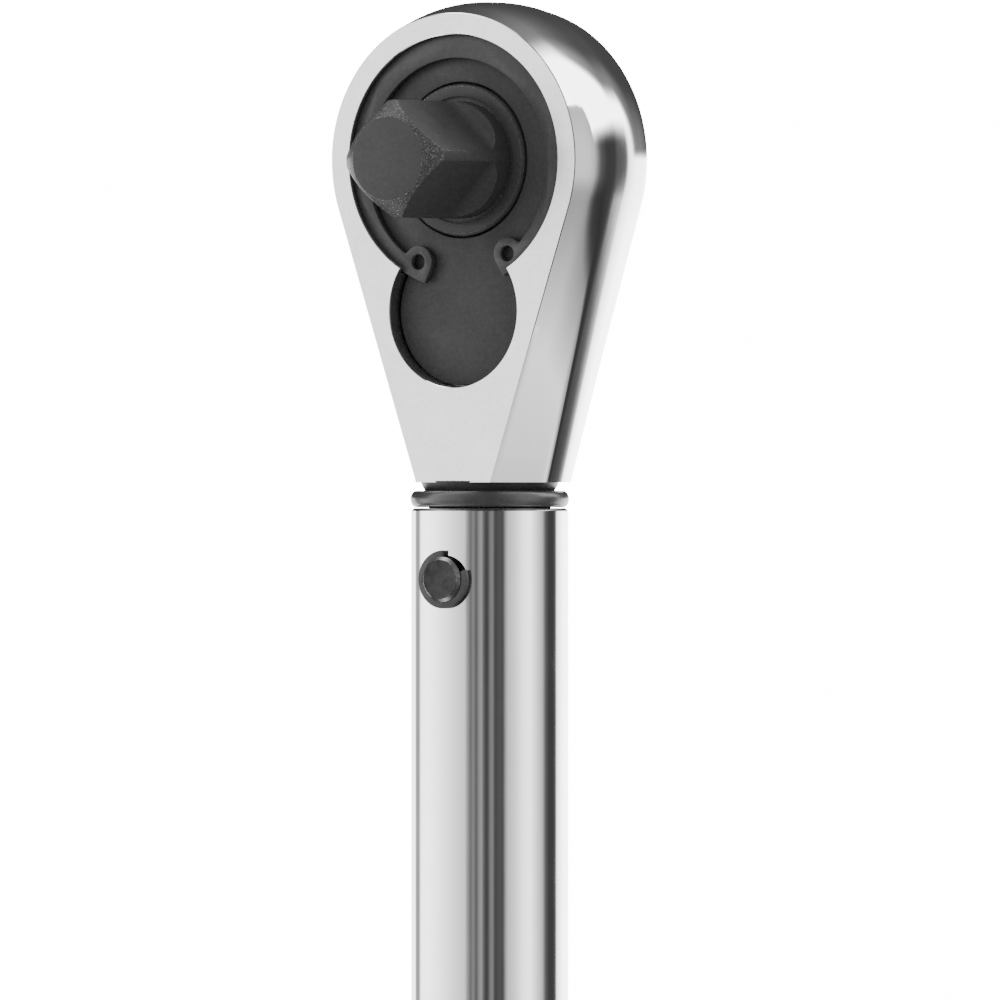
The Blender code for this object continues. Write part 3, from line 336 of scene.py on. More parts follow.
def buildLights():
    softbox = bpy.data.lights.new("softbox", "AREA")
    softbox.energy = 6
    softbox.size = 0.7
    holder = newObject("softbox", softbox)
    place = cameraRight * -0.8 + towardsCamera * 0.9 + Vector((0, 0, driveZ + 0.6))
    holder.location = place
    holder.rotation_euler = (Vector((0, 0, driveZ)) - place).to_track_quat("-Z", "Y").to_euler()
    holder.visible_glossy = False


def buildFloor(material):
    size = studio["floorSize"]
    shape = bmesh.new()
    corners = [shape.verts.new((x * size, y * size, 0)) for x, y in ((-1, -1), (1, -1), (1, 1), (-1, 1))]
    shape.faces.new(corners)
    floor = objectFrom("floor", shape)
    paint(floor, material)
    floor.visible_glossy = False


def newGroup(name, inputs, outputs):
    group = bpy.data.node_groups.new(name, "ShaderNodeTree")
    for label, kind, value in inputs:
        socket = group.interface.new_socket(label, in_out="INPUT", socket_type="NodeSocket" + kind)
        if value is not None:
            socket.default_value = value
    for label in outputs:
        group.interface.new_socket(label, in_out="OUTPUT", socket_type="NodeSocketFloat")
    start = group.nodes.new("NodeGroupInput")
    end = group.nodes.new("NodeGroupOutput")
    return group, start.outputs, end.inputs


def buildSmudges():
    group, start, end = newGroup("smudges", [
        ("Vector", "Vector", None), ("Scale", "Float", 60.0), ("Low", "Float", 0.04),
        ("High", "Float", 0.1)], ["Roughness"])
    noise = addNode(group, "ShaderNodeTexNoise", Vector=start["Vector"], Scale=start["Scale"],
                    Detail=5.0, Roughness=0.6)
    spread = addNode(group, "ShaderNodeMapRange", Value=noise.outputs["Fac"],
                     **{"From Min": 0.35, "From Max": 0.7, "To Min": start["Low"], "To Max": start["High"]})
    group.links.new(spread.outputs["Result"], end["Roughness"])
    return group


def buildGrain():
    group, start, end = newGroup("grain", [
        ("Vector", "Vector", None), ("Scale", "Float", 1500.0), ("Stretch", "Vector", (1, 1, 1)),
        ("Contrast", "Float", 0.2)], ["Tone", "Height"])
    stretched = addNode(group, "ShaderNodeVectorMath", {"operation": "MULTIPLY"}, i0=start["Vector"],
                        i1=start["Stretch"])
    noise = addNode(group, "ShaderNodeTexNoise", Vector=stretched.outputs[0], Scale=start["Scale"],
                    Detail=3.0, Roughness=0.65)
    low = maths(group, "SUBTRACT", 1.0, start["Contrast"])
    high = maths(group, "ADD", 1.0, start["Contrast"])
    tone = addNode(group, "ShaderNodeMapRange", Value=noise.outputs["Fac"],
                   **{"From Min": 0.3, "From Max": 0.7, "To Min": low, "To Max": high})
    group.links.new(tone.outputs["Result"], end["Tone"])
    group.links.new(noise.outputs["Fac"], end["Height"])
    return group


smudges = buildSmudges()
grain = buildGrain()


def startMaterial(name, colour, roughness, metallic, specular=0.5):
    material = bpy.data.materials.new(name)
    material.use_nodes = True
    tree = material.node_tree
    shader = tree.nodes["Principled BSDF"]
    shader.inputs["Base Color"].default_value = (*colour, 1)
    shader.inputs["Roughness"].default_value = roughness
    shader.inputs["Metallic"].default_value = metallic
    shader.inputs["Specular IOR Level"].default_value = specular
    where = addNode(tree, "ShaderNodeTexCoord").outputs["Object"]
    return material, tree, shader, where


def addFilm(tree, shader, where, scale, low, high):
    film = addNode(tree, "ShaderNodeGroup", {"node_tree": smudges}, Vector=where, Scale=scale,
                   Low=low, High=high)
    tree.links.new(film.outputs["Roughness"], shader.inputs["Roughness"])


def addBump(tree, shader, height, strength, distance):
    bump = addNode(tree, "ShaderNodeBump", Height=height, Strength=strength, Distance=distance)
    tree.links.new(bump.outputs["Normal"], shader.inputs["Normal"])


def addGrain(tree, shader, where, colour, scale, contrast, strength, distance, stretch=(1, 1, 1)):
    fine = addNode(tree, "ShaderNodeGroup", {"node_tree": grain}, Vector=where, Scale=scale, Stretch=stretch,
                   Contrast=contrast)
    tone = addNode(tree, "ShaderNodeVectorMath", {"operation": "SCALE"}, i0=colour,
                   Scale=fine.outputs["Tone"])
    tree.links.new(tone.outputs[0], shader.inputs["Base Color"])
    if strength:
        addBump(tree, shader, fine.outputs["Height"], strength, distance)


def polishedChrome(name, colour=(0.93, 0.93, 0.94), low=0.03, high=0.09):
    material, *parts = startMaterial(name, colour, 0.05, 1.0)
    addFilm(*parts, 90.0, low, high)
    addGrain(*parts, colour, 700.0, 0.02, 0.05, 0.00002, (1, 1, 0.25))
    return material


def groundSteel(name, colour=(0.9, 0.9, 0.9), roughness=0.32, contrast=0.06, scale=2200.0,
                stretch=(1, 1, 1)):
    material, *parts = startMaterial(name, colour, roughness, 1.0)
    addFilm(*parts, 160.0, roughness * 0.85, roughness * 1.2)
    addGrain(*parts, colour, scale, contrast, 0.25, 0.00003, stretch)
    return material


def blackOxide(name, colour=(0.026, 0.026, 0.027), roughness=0.45, specular=0.3):
    material, *parts = startMaterial(name, colour, roughness, 0.0, specular)
    addFilm(*parts, 180.0, roughness * 0.85, roughness * 1.25)
    addGrain(*parts, colour, 1600.0, 0.16, 0.3, 0.00004)
    return material


def wornOxide(name, low, high):
    # bright specks where the black has rubbed off: none below low, all above high
    material, tree, shader, where = startMaterial(name, (0.1, 0.1, 0.1), 0.4, 0.5, 0.3)
    specks = addNode(tree, "ShaderNodeTexNoise", Vector=where, Scale=5200.0, Detail=3.0, Roughness=0.7)
    rubbed = addNode(tree, "ShaderNodeMapRange", Value=specks.outputs["Fac"],
                     **{"From Min": low, "From Max": high}).outputs["Result"]
    tree.links.new(rampOf(tree, rubbed, [(0, 0.03), (0.5, 0.14), (1, 0.6)]), shader.inputs["Base Color"])
    tree.links.new(rubbed, shader.inputs["Metallic"])
    addFilm(tree, shader, where, 400.0, 0.3, 0.5)
    addBump(tree, shader, specks.outputs["Fac"], 0.4, 0.00004)
    return material


def glossRubber(name, colour=(0.03, 0.03, 0.03)):
    material, *parts = startMaterial(name, colour, 0.28, 0.0)
    addFilm(*parts, 120.0, 0.2, 0.36)
    addGrain(*parts, colour, 500.0, 0.2, 0.15, 0.00004)
    return material


def floorPaint(name, colour=(0.88, 0.88, 0.88)):
    material, *parts = startMaterial(name, colour, 0.7, 0.0)
    addGrain(*parts, colour, 8.0, 0.02, 0, 0)
    return material


chrome = polishedChrome("headChrome")
tubeChrome = polishedChrome("tubeChrome", low=0.04, high=0.1)
groundFace = groundSteel("groundFace")
# darker steel for the pocket walls, groove and cavity of the head: painted shade for the dark recess
pocketShadeSteel = groundSteel("pocketShadeSteel", (0.45, 0.45, 0.46), 0.4)
oxide = blackOxide("blackOxide")
oxideRing = blackOxide("ringOxide", (0.03, 0.03, 0.031), 0.4, 0.36)
oxidePlate = blackOxide("plateOxide", (0.03, 0.03, 0.03), 0.55)
wornEdge = wornOxide("wornEdge", 0.44, 0.62)
wornRim = wornOxide("wornRim", 0.53, 0.74)
rubber = glossRubber("sealRubber")
machined = groundSteel("machinedSteel", (0.5, 0.5, 0.51), 0.3, 0.08, 900.0)
springSteel = groundSteel("springSteel", (0.2, 0.2, 0.21), 0.35, 0.1, 600.0)
brass = groundSteel("turnedBrass", (0.72, 0.52, 0.24), 0.28, 0.06, 700.0)
darkSteel = groundSteel("pinSteel", (0.035, 0.035, 0.036), 0.35, 0.25, 900.0)
pinRim = groundSteel("pinRim", (0.3, 0.3, 0.3), 0.3, 0.35, 1800.0)
gripChrome = groundSteel("gripChrome", (0.82, 0.82, 0.83), 0.2, 0.05, 900.0)
satinChrome = groundSteel("satinChrome", (0.85, 0.85, 0.86), 0.28, 0.04, 1500.0, (0.2, 0.2, 1))
markInk = blackOxide("markInk", (0.02, 0.02, 0.02), 0.5)

buildCamera()
buildWorld()
buildLights()
buildFloor(floorPaint("paleFloor"))
print("studio and finishes ready")


head = {
    "faceY": -9.3 * mm, "backY": 9.6 * mm, "ridgeRadius": 22.4 * mm, "ridgeBend": 20.0 * mm,
    "ridgeFront": -0.9 * mm, "ridgeBack": 1.1 * mm, "frontSlope": 17.0, "backSlope": 9.5,
    "backStraightEnd": 7.2 * mm, "faceEdge": 0.1 * mm, "smoothAngle": 18,
    "neckRadius": tubeRadius + 0.3 * mm, "neckZ": tubeTop + 3.65 * mm, "footFace": 6.3 * mm,
    "footSlope": 34.5, "footFlat": 1.8 * mm, "footRidge": 1.3 * mm, "footLean": 3.5, "footEdge": 1.3 * mm,
    "fairingRise": 9.5 * mm, "pocketRadius": 17.7 * mm, "lobeRadius": 10.8 * mm, "ledgeY": -4.9 * mm,
    "rimEdge": 0.12 * mm, "cavityRadius": 16.2 * mm, "cavityLobe": 10.05 * mm, "floorY": 5.5 * mm,
    "grooveRadius": 18.5 * mm, "grooveFront": -8.7 * mm, "grooveBack": -7.1 * mm,
    "leverHole": 4.3 * mm, "stemTop": 9.8 * mm, "stemNeck": 9.0 * mm, "stemRadius": 8.5 * mm,
    "stemDrop": 8.0 * mm, "stemHole": 3.5 * mm, "armWidth": 9.0 * mm, "armDepth": 10.0 * mm, "armEdge": 0.5 * mm,
}


def headFlank():
    ridge, bend = head["ridgeRadius"], head["ridgeBend"]
    points = []
    for angle in [head["frontSlope"] * (1 - step / 12) for step in range(13)]:
        turn = math.radians(angle)
        points.append((head["ridgeFront"] - bend * math.sin(turn), ridge - bend * (1 - math.cos(turn))))
    firstY, firstRadius = points[0]
    faceRadius = firstRadius - (firstY - head["faceY"]) * math.tan(math.radians(head["frontSlope"]))
    edge = head["faceEdge"]
    depth = firstY - head["faceY"]
    front = [(head["faceY"], faceRadius - edge)]
    for share in (0, 0.33, 0.66):
        y = head["faceY"] + edge + (depth - edge) * share
        front.append((y, faceRadius + (firstRadius - faceRadius) * (y - head["faceY"]) / depth))
    for angle in [head["backSlope"] * step / 6 for step in range(7)]:
        turn = math.radians(angle)
        points.append((head["ridgeBack"] + bend * math.sin(turn), ridge - bend * (1 - math.cos(turn))))
    slope = math.radians(head["backSlope"])
    lastY, lastRadius = points[-1]
    for share in (0.5, 1.0):
        y = lastY + (head["backStraightEnd"] - lastY) * share
        points.append((y, lastRadius - (y - lastY) * math.tan(slope)))
    edgeY, edgeRadius = points[-1]
    last = math.radians(86)   # the rounded back edge stops just before it is flat
    bend = (head["backY"] - edgeY) / (math.sin(last) - math.sin(slope))
    for step in range(1, 11):
        turn = slope + (last - slope) * step / 10
        points.append((edgeY + bend * (math.sin(turn) - math.sin(slope)),
                       edgeRadius - bend * (math.cos(slope) - math.cos(turn))))
    return front + points


def footHalf(y):
    # the foot is round at the back, leans a little past the middle, and is cut straight towards the face
    widest, ridge, flat = head["neckRadius"], head["footRidge"], head["footFlat"]
    if y >= ridge:
        return widest - math.sqrt(widest ** 2 - ridge ** 2) + math.sqrt(widest ** 2 - y ** 2)
    lean, fall = math.tan(math.radians(head["footLean"])), math.tan(math.radians(head["footSlope"]))
    if -y <= flat:
        return widest - lean * (ridge - y)
    near, depth = widest - lean * (ridge + flat), -y - flat
    bend = 2 * (fall * (-head["faceY"] - flat) - (near - head["footFace"])) / (fall - lean)
    if depth < bend:
        return near - lean * depth - (fall - lean) * depth ** 2 / (2 * bend)
    return near - (lean + fall) * bend / 2 - fall * (depth - bend)


def headOutline(y, radius, topSteps=120, sideSteps=14):
    halfNeck = footHalf(y)
    drop = driveZ - head["neckZ"]
    tangent = math.degrees(math.atan2(-drop, halfNeck) + math.acos(radius / math.hypot(halfNeck, drop)))
    top = arc(0, driveZ, radius, tangent, 180 - tangent, topSteps)
    points = []
    sideX, sideZ = top[0]
    for step in range(sideSteps):
        share = step / sideSteps
        points.append((halfNeck + (sideX - halfNeck) * share,
                       head["neckZ"] + (sideZ - head["neckZ"]) * share))
    left = [(-x, z) for x, z in reversed(points)]
    return points + top + left


def neckFairing():
    rise, wide, narrow = head["fairingRise"], head["neckRadius"] + 0.02 * mm, head["backY"] - 0.15 * mm
    low, edge = head["neckZ"] + head["footEdge"], head["footEdge"]
    profile = [(0, head["neckZ"] - 0.01 * mm)]
    for step in range(9):
        turn = math.pi / 2 * step / 8
        profile.append((wide - edge * (1 - math.sin(turn)), low - 0.01 * mm - edge * math.cos(turn)))
    for step in range(17):
        share = step / 16
        fade = share * share * (3 - 2 * share)
        profile.append((wide + (narrow - wide) * fade, low + 1 * mm + (rise - 2 * mm) * share))
    profile.append((0, profile[-1][1]))
    shape = turned(profile, 160)
    for vert in shape.verts:
        vert.co.y = max(vert.co.y, head["footRidge"] + 0.2 * mm)
    return shape


def snowman(radius, lobeRadius, steps=150):
    drop = driveZ - leverZ
    meet = (radius ** 2 - lobeRadius ** 2 + drop ** 2) / (2 * drop)
    half = math.sqrt(radius ** 2 - meet ** 2)
    big = math.degrees(math.atan2(-meet, half))
    small = math.degrees(math.atan2(drop - meet, half))
    points = arc(0, driveZ, radius, big, 180 - big, steps)
    points += arc(0, leverZ, lobeRadius, 180 - small, 360 + small, steps // 2)[1:-1]
    return points


def buildHead():
    smoothAngle, neckZ, neckFoot = head["smoothAngle"], head["neckZ"], pinZ - head["stemDrop"]
    blank = lofted([(y, headOutline(y, radius)) for y, radius in headFlank()])
    foot = [edge for edge in blank.edges if max(vert.co.z for vert in edge.verts) < neckZ + 0.01 * mm
            and len(edge.link_faces) == 2 and edge.calc_face_angle() > 0.5]
    bmesh.ops.bevel(blank, geom=foot, offset=head["footEdge"], segments=8, profile=0.5, affect="EDGES")
    shell = objectFrom("headForging", blank, smoothAngle)
    faceY, rim = head["faceY"], head["rimEdge"]
    past = 0.5 * mm   # how far a cut starts outside the face
    carve(shell, [neckFairing()], "UNION", smoothAngle)
    mouth = rim + past
    pocket = lofted([
        (faceY - past, snowman(head["pocketRadius"] + mouth, head["lobeRadius"] + mouth)),
        (faceY + rim, snowman(head["pocketRadius"], head["lobeRadius"])),
        (head["ledgeY"], snowman(head["pocketRadius"], head["lobeRadius"]))])
    cavity = slab(snowman(head["cavityRadius"], head["cavityLobe"]), head["ledgeY"] - 2 * past,
                  head["floorY"])
    groove = alongY(disc(head["grooveRadius"], head["grooveFront"], head["grooveBack"], 160), 0, driveZ)
    leverHole = alongY(disc(head["leverHole"], 4 * mm, 12 * mm, 64), 0, leverZ)
    carve(shell, [pocket, cavity, groove, leverHole], smoothAngle=smoothAngle)
    paint(shell, chrome, groundFace, pocketShadeSteel)
    near = 0.2 * mm
    # front faces take the ground face; faces inside the pocket, groove and cavity take the darker steel, which
    # is painted shade for the recess
    for face in shell.data.polygons:
        middle = face.center
        inside = math.hypot(middle.x, middle.z - driveZ) < head["grooveRadius"] + near
        inside = inside or math.hypot(middle.x, middle.z - leverZ) < head["lobeRadius"] + near
        if face.normal.y < -0.99 and middle.y < faceY + 0.05 * mm:
            face.material_index = 1
        elif inside and middle.y < head["floorY"] + 0.1 * mm and middle.y > faceY + rim:
            face.material_index = 2
    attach(shell, "head")
    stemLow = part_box("ratchet_head")[0][2]
    stemTop, stemNeck, radius = head["stemTop"], head["stemNeck"], head["stemRadius"]
    stem = objectFrom("headStem", turned([
        (0, neckZ + 0.2 * mm), (stemTop, neckZ + 0.2 * mm), (stemTop - 0.3 * mm, neckZ - 0.6 * mm),
        (stemNeck, tubeTop + 2.2 * mm), (stemNeck, tubeTop + 0.6 * mm), (radius, tubeTop - 0.1 * mm),
        (radius, neckFoot), (0, neckFoot)], 96))
    carve(stem, [alongY(disc(head["stemHole"], -12 * mm, 12 * mm, 48), 0, pinZ)])
    paint(stem, oxide)
    halfWide, halfDeep = head["armWidth"] / 2, head["armDepth"] / 2
    arm = objectFrom("headArm", box((-halfWide, -halfDeep, stemLow),
                                    (halfWide, halfDeep, neckFoot + 0.1 * mm)))
    soften(arm, head["armEdge"])
    paint(arm, machined)
    for piece in (stem, arm):
        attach(piece, "head")
    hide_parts("ratchet_head")


buildHead()
print("head ready")


cover = {"front": -7.0 * mm, "back": -5.2 * mm, "gap": 0.3 * mm, "hubHole": 11.05 * mm, "edge": 0.12 * mm}


def buildCover():
    gap = cover["gap"]
    outline = snowman(head["pocketRadius"] - gap, head["lobeRadius"] - gap)
    plate = objectFrom("coverPlate", slab(outline, cover["front"], cover["back"]))
    carve(plate, [alongY(disc(cover["hubHole"], -9 * mm, -3 * mm, 128), 0, driveZ)])
    soften(plate, cover["edge"])
    paint(plate, oxidePlate)
    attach(plate, "head")
    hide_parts("cover_plate")


ring = {
    "outer": 18.2 * mm, "front": -8.4 * mm, "back": -7.4 * mm, "band": 3.8 * mm, "bandEnd": 2.2 * mm,
    "lugRadius": 2.3 * mm, "lugHole": 1.1 * mm, "leftLug": 24.5, "rightLug": 33.0, "edge": 0.1 * mm,
}


def lugPlace(angle):
    out = Vector((math.cos(math.radians(angle)), math.sin(math.radians(angle))))
    return out * (ring["outer"] - ring["lugRadius"] - 0.1 * mm) + Vector((0, driveZ)), out


def lugEdge(angle, side, steps=24):
    middle, out = lugPlace(angle)
    radius = ring["lugRadius"]
    along = Vector((-out.y, out.x)) * side
    points = []
    for step in range(steps + 1):
        turn = math.radians(90 - 162 * step / steps)
        point = middle - out * radius * math.cos(turn) + along * radius * math.sin(turn)
        points.append((point.x, point.y))
    return points


def buildRing():
    inner = ring["outer"] - (ring["band"] + ring["bandEnd"]) / 2
    innerZ = driveZ - (ring["band"] - ring["bandEnd"]) / 2
    halfLug = math.degrees(math.asin(ring["lugRadius"] / ring["outer"]))
    right, left = -90 + ring["rightLug"], 270 - ring["leftLug"]
    leftEdge, rightEdge = lugEdge(left, 1), lugEdge(right, -1)
    leftStop = 360 + math.degrees(math.atan2(leftEdge[-1][1] - innerZ, leftEdge[-1][0])) - 1
    rightStop = math.degrees(math.atan2(rightEdge[-1][1] - innerZ, rightEdge[-1][0])) + 1
    outline = arc(0, driveZ, ring["outer"], right - halfLug, left + halfLug, 180)
    outline += leftEdge + arc(0, innerZ, inner, leftStop, rightStop, 150) + list(reversed(rightEdge))
    snap = objectFrom("snapRing", slab(outline, ring["front"], ring["back"]))
    holes = []
    for angle in (left, right):
        middle = lugPlace(angle)[0]
        holes.append(alongY(disc(ring["lugHole"], -10 * mm, -6 * mm, 40), middle.x, middle.y))
    carve(snap, holes)
    soften(snap, ring["edge"])
    paint(snap, oxideRing)
    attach(snap, "head")
    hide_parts("snap_ring")


buildCover()
buildRing()
print("cover plate and snap ring ready")


drive = {
    "hubRadius": 10.75 * mm, "hubY": -7.5 * mm, "hubEdge": 0.3 * mm, "shankRadius": 8.3 * mm,
    "tipRadius": 5.9 * mm, "tipChamfer": 1.9 * mm, "undercutWidth": 0.7 * mm, "undercutDepth": 0.5 * mm,
    "square": 12.7 * mm, "flatLength": 13.2 * mm, "runOut": 3.2 * mm, "turn": 3.0, "edge": 0.12 * mm,
    "gearFront": -4.9 * mm, "gearBack": 5.2 * mm, "gearRadius": 13.6 * mm, "toothDepth": 1.1 * mm,
    "teeth": 36, "toothReach": 0.69, "journalRadius": 7.0 * mm, "journalEnd": 7.8 * mm,
    "ballSide": 3, "ballY": tipY + 7.6 * mm, "ballRadius": 1.7 * mm, "ballRoom": 0.15 * mm,
}


def flatTurn(side):
    turn = math.radians(45 + 90 * side - drive["turn"])
    return Matrix.Translation((0, 0, driveZ)) @ Matrix.Rotation(turn, 4, "Y")


def flatCutter():
    half, runOut, endY = drive["square"] / 2, drive["runOut"], tipY + drive["flatLength"]
    outside, ahead = half + 6 * mm, tipY - 2 * mm
    profile = [(half, ahead), (half, endY)]
    for step in range(1, 17):
        turn = math.radians(70 * step / 16)
        profile.append((half + runOut * (1 - math.cos(turn)), endY + runOut * math.sin(turn)))
    profile += [(outside, profile[-1][1]), (outside, ahead)]
    shape = bmesh.new()
    reach = drive["shankRadius"] * 1.3
    sides = [[shape.verts.new((x, y, out)) for out, y in profile] for x in (-reach, reach)]
    shape.faces.new(sides[0])
    shape.faces.new(list(reversed(sides[1])))
    for index in range(len(profile)):
        after = (index + 1) % len(profile)
        shape.faces.new([sides[0][index], sides[1][index], sides[1][after], sides[0][after]])
    return shape


def buildDrive():
    shank, edge, hubY, hubRadius = drive["shankRadius"], drive["hubEdge"], drive["hubY"], drive["hubRadius"]
    groove, grooveY = shank + drive["undercutWidth"], hubY + drive["undercutDepth"]
    chamferY, hubEnd = tipY + drive["tipChamfer"], drive["gearFront"] + 0.2 * mm
    body = objectFrom("squareDrive", alongY(turned([
        (0, tipY), (drive["tipRadius"], tipY), (shank, chamferY), (shank, grooveY), (groove, grooveY),
        (groove, hubY), (hubRadius - edge, hubY), (hubRadius, hubY + edge), (hubRadius, hubEnd),
        (0, hubEnd)], 160), 0, driveZ))
    cutters = []
    for side in range(4):
        cutter = flatCutter()
        cutter.transform(flatTurn(side))
        cutters.append(cutter)
    hole = disc(drive["ballRadius"] + drive["ballRoom"], 1.4 * mm, 9 * mm, 40)
    hole.transform(flatTurn(drive["ballSide"]) @ Matrix.Translation((0, drive["ballY"], 0)))
    cutters.append(hole)
    paint(body, oxide, wornEdge, wornRim)
    carve(body, cutters)
    soften(body, drive["edge"], 2, 30, slot=1)
    for face in body.data.polygons:
        if face.material_index == 0 and -0.9 < face.normal.y < -0.5 and face.center.y < chamferY:
            face.material_index = 2
    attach(body, "drive")
    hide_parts("drive_gear")
    buildGear()


def buildGear():
    root, front, back = drive["gearRadius"] - drive["toothDepth"], drive["gearFront"], drive["gearBack"]
    journal, journalEnd = drive["journalRadius"], drive["journalEnd"]
    core = objectFrom("gearCore", alongY(turned([
        (0, front), (root, front), (root, back), (journal, back), (journal, journalEnd), (0, journalEnd)],
        144), 0, driveZ))
    paint(core, oxide)
    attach(core, "drive")
    tree, sockets, start, end = geometryTree("toothRing", (
        ("Teeth", "Int", 36), ("Radius", "Float", 0.0125), ("Depth", "Float", 0.001),
        ("Width", "Float", 0.01)))
    circle = addNode(tree, "GeometryNodeMeshCircle", Vertices=start["Teeth"], Radius=start["Radius"])
    cone = addNode(tree, "GeometryNodeMeshCone", **{
        "Vertices": 4, "Radius Top": 0.0, "Radius Bottom": 1.0, "Depth": 1.0})
    index = addNode(tree, "GeometryNodeInputIndex").outputs[0]
    step = maths(tree, "DIVIDE", math.tau, start["Teeth"])
    angle = maths(tree, "MULTIPLY", index, step)
    turn = addNode(tree, "ShaderNodeCombineXYZ", X=0.0, Y=math.pi / 2, Z=angle).outputs[0]
    depth = start["Depth"]
    size = addNode(tree, "ShaderNodeCombineXYZ", X=start["Width"], Y=depth, Z=depth).outputs[0]
    spread = addNode(tree, "GeometryNodeInstanceOnPoints", Points=circle.outputs["Mesh"],
                     Instance=cone.outputs["Mesh"], Rotation=turn, Scale=size)
    real = addNode(tree, "GeometryNodeRealizeInstances", Geometry=spread.outputs[0])
    painted = addNode(tree, "GeometryNodeSetMaterial", Geometry=real.outputs[0], Material=oxide)
    tree.links.new(painted.outputs[0], end[0])
    teeth = grown("gearTeeth", (tree, sockets), {
        "Teeth": drive["teeth"], "Radius": root, "Depth": drive["toothDepth"],
        "Width": (back - front) * drive["toothReach"]})
    place = Matrix.Translation((0, (back + front) / 2, driveZ))
    teeth.data.transform(place @ Matrix.Rotation(math.pi / 2, 4, "X"))
    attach(teeth, "drive")


buildDrive()
print("square drive ready")


tube = {"wall": 1.8 * mm, "edge": 0.4 * mm, "pinHole": 3.4 * mm}


def buildTube():
    edge, bore = tube["edge"], tubeRadius - tube["wall"]
    pipe = objectFrom("outerTube", turned([
        (tubeRadius - edge, tubeFoot), (tubeRadius, tubeFoot + edge), (tubeRadius, pinZ - 6 * mm),
        (tubeRadius, pinZ + 6 * mm), (tubeRadius, tubeTop - edge), (tubeRadius - edge, tubeTop),
        (bore + edge, tubeTop), (bore, tubeTop - edge), (bore, tubeFoot)], 256, closed=True))
    carve(pipe, [alongY(disc(tube["pinHole"], -14 * mm, 14 * mm, 64), 0, pinZ)])
    paint(pipe, tubeChrome)
    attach(pipe, "tube")
    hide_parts("outer_tube")


seal = {"gap": 0.12 * mm, "stands": 0.1 * mm, "bulge": 1.1 * mm, "height": 2.35 * mm, "bore": 9.9 * mm}


def buildSeal():
    low, outer, half = tubeTop + seal["gap"], tubeRadius + seal["stands"], seal["height"] / 2
    profile = []
    for step in range(17):
        turn = math.radians(-90 + 180 * step / 16)
        bulge = abs(math.cos(turn)) ** 0.7   # fuller than a circle
        profile.append((outer - seal["bulge"] + seal["bulge"] * bulge, low + half * (1 + math.sin(turn))))
    profile += [(seal["bore"] + 0.1 * mm, low + 2 * half - 0.1 * mm), (seal["bore"], low)]
    piece = objectFrom("neckSeal", turned(profile, 192, closed=True), 40)
    paint(piece, rubber)
    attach(piece, "tube")
    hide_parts("neck_seal")


pivot = {
    "radius": 3.2 * mm, "end": 12.6 * mm, "edge": 0.45 * mm, "grooveRadius": 2.6 * mm, "grooveNear": 11.2 * mm,
    "grooveFar": 12.1 * mm, "clipInner": 2.75 * mm, "clipOuter": 4.1 * mm, "clipNear": 11.3 * mm,
    "clipFar": 12.0 * mm, "clipEdge": 0.1 * mm, "opening": 70, "middle": 55,
}


def buildPivot():
    radius, end, edge, neck = pivot["radius"], pivot["end"], pivot["edge"], pivot["grooveRadius"]
    near, far, slant = pivot["grooveNear"], pivot["grooveFar"], 0.05 * mm
    half = [(radius, 0), (radius, near), (neck, near + slant), (neck, far - slant), (radius, far),
            (radius, end - edge), (radius - edge, end), (radius - 2 * edge, end - 0.05 * mm),
            (0, end - 0.08 * mm)]
    profile = [(r, -height) for r, height in reversed(half)] + half[1:]
    pin = objectFrom("pivotPin", alongY(turned(profile, 96), 0, pinZ))
    paint(pin, darkSteel, pinRim)
    for face in pin.data.polygons:
        if 0.3 < abs(face.normal.y) < 0.95 and abs(face.center.y) > end - edge:
            face.material_index = 1
    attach(pin, "tube")
    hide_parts("pivot_pin")
    start = pivot["middle"] + pivot["opening"] / 2
    stop = pivot["middle"] + 360 - pivot["opening"] / 2
    outline = arc(0, pinZ, pivot["clipOuter"], start, stop, 72)
    outline += arc(0, pinZ, pivot["clipInner"], stop, start, 60)
    for name, node, side in (("pivotClipFront", "pivot_clip_front", -1),
                             ("pivotClipRear", "pivot_clip_rear", 1)):
        clip = objectFrom(name, slab(outline, side * pivot["clipNear"], side * pivot["clipFar"]))
        soften(clip, pivot["clipEdge"])
        paint(clip, oxideRing)
        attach(clip, "tube")
        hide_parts(node)


buildTube()
buildSeal()
buildPivot()
print("tube, seal and pivot ready")


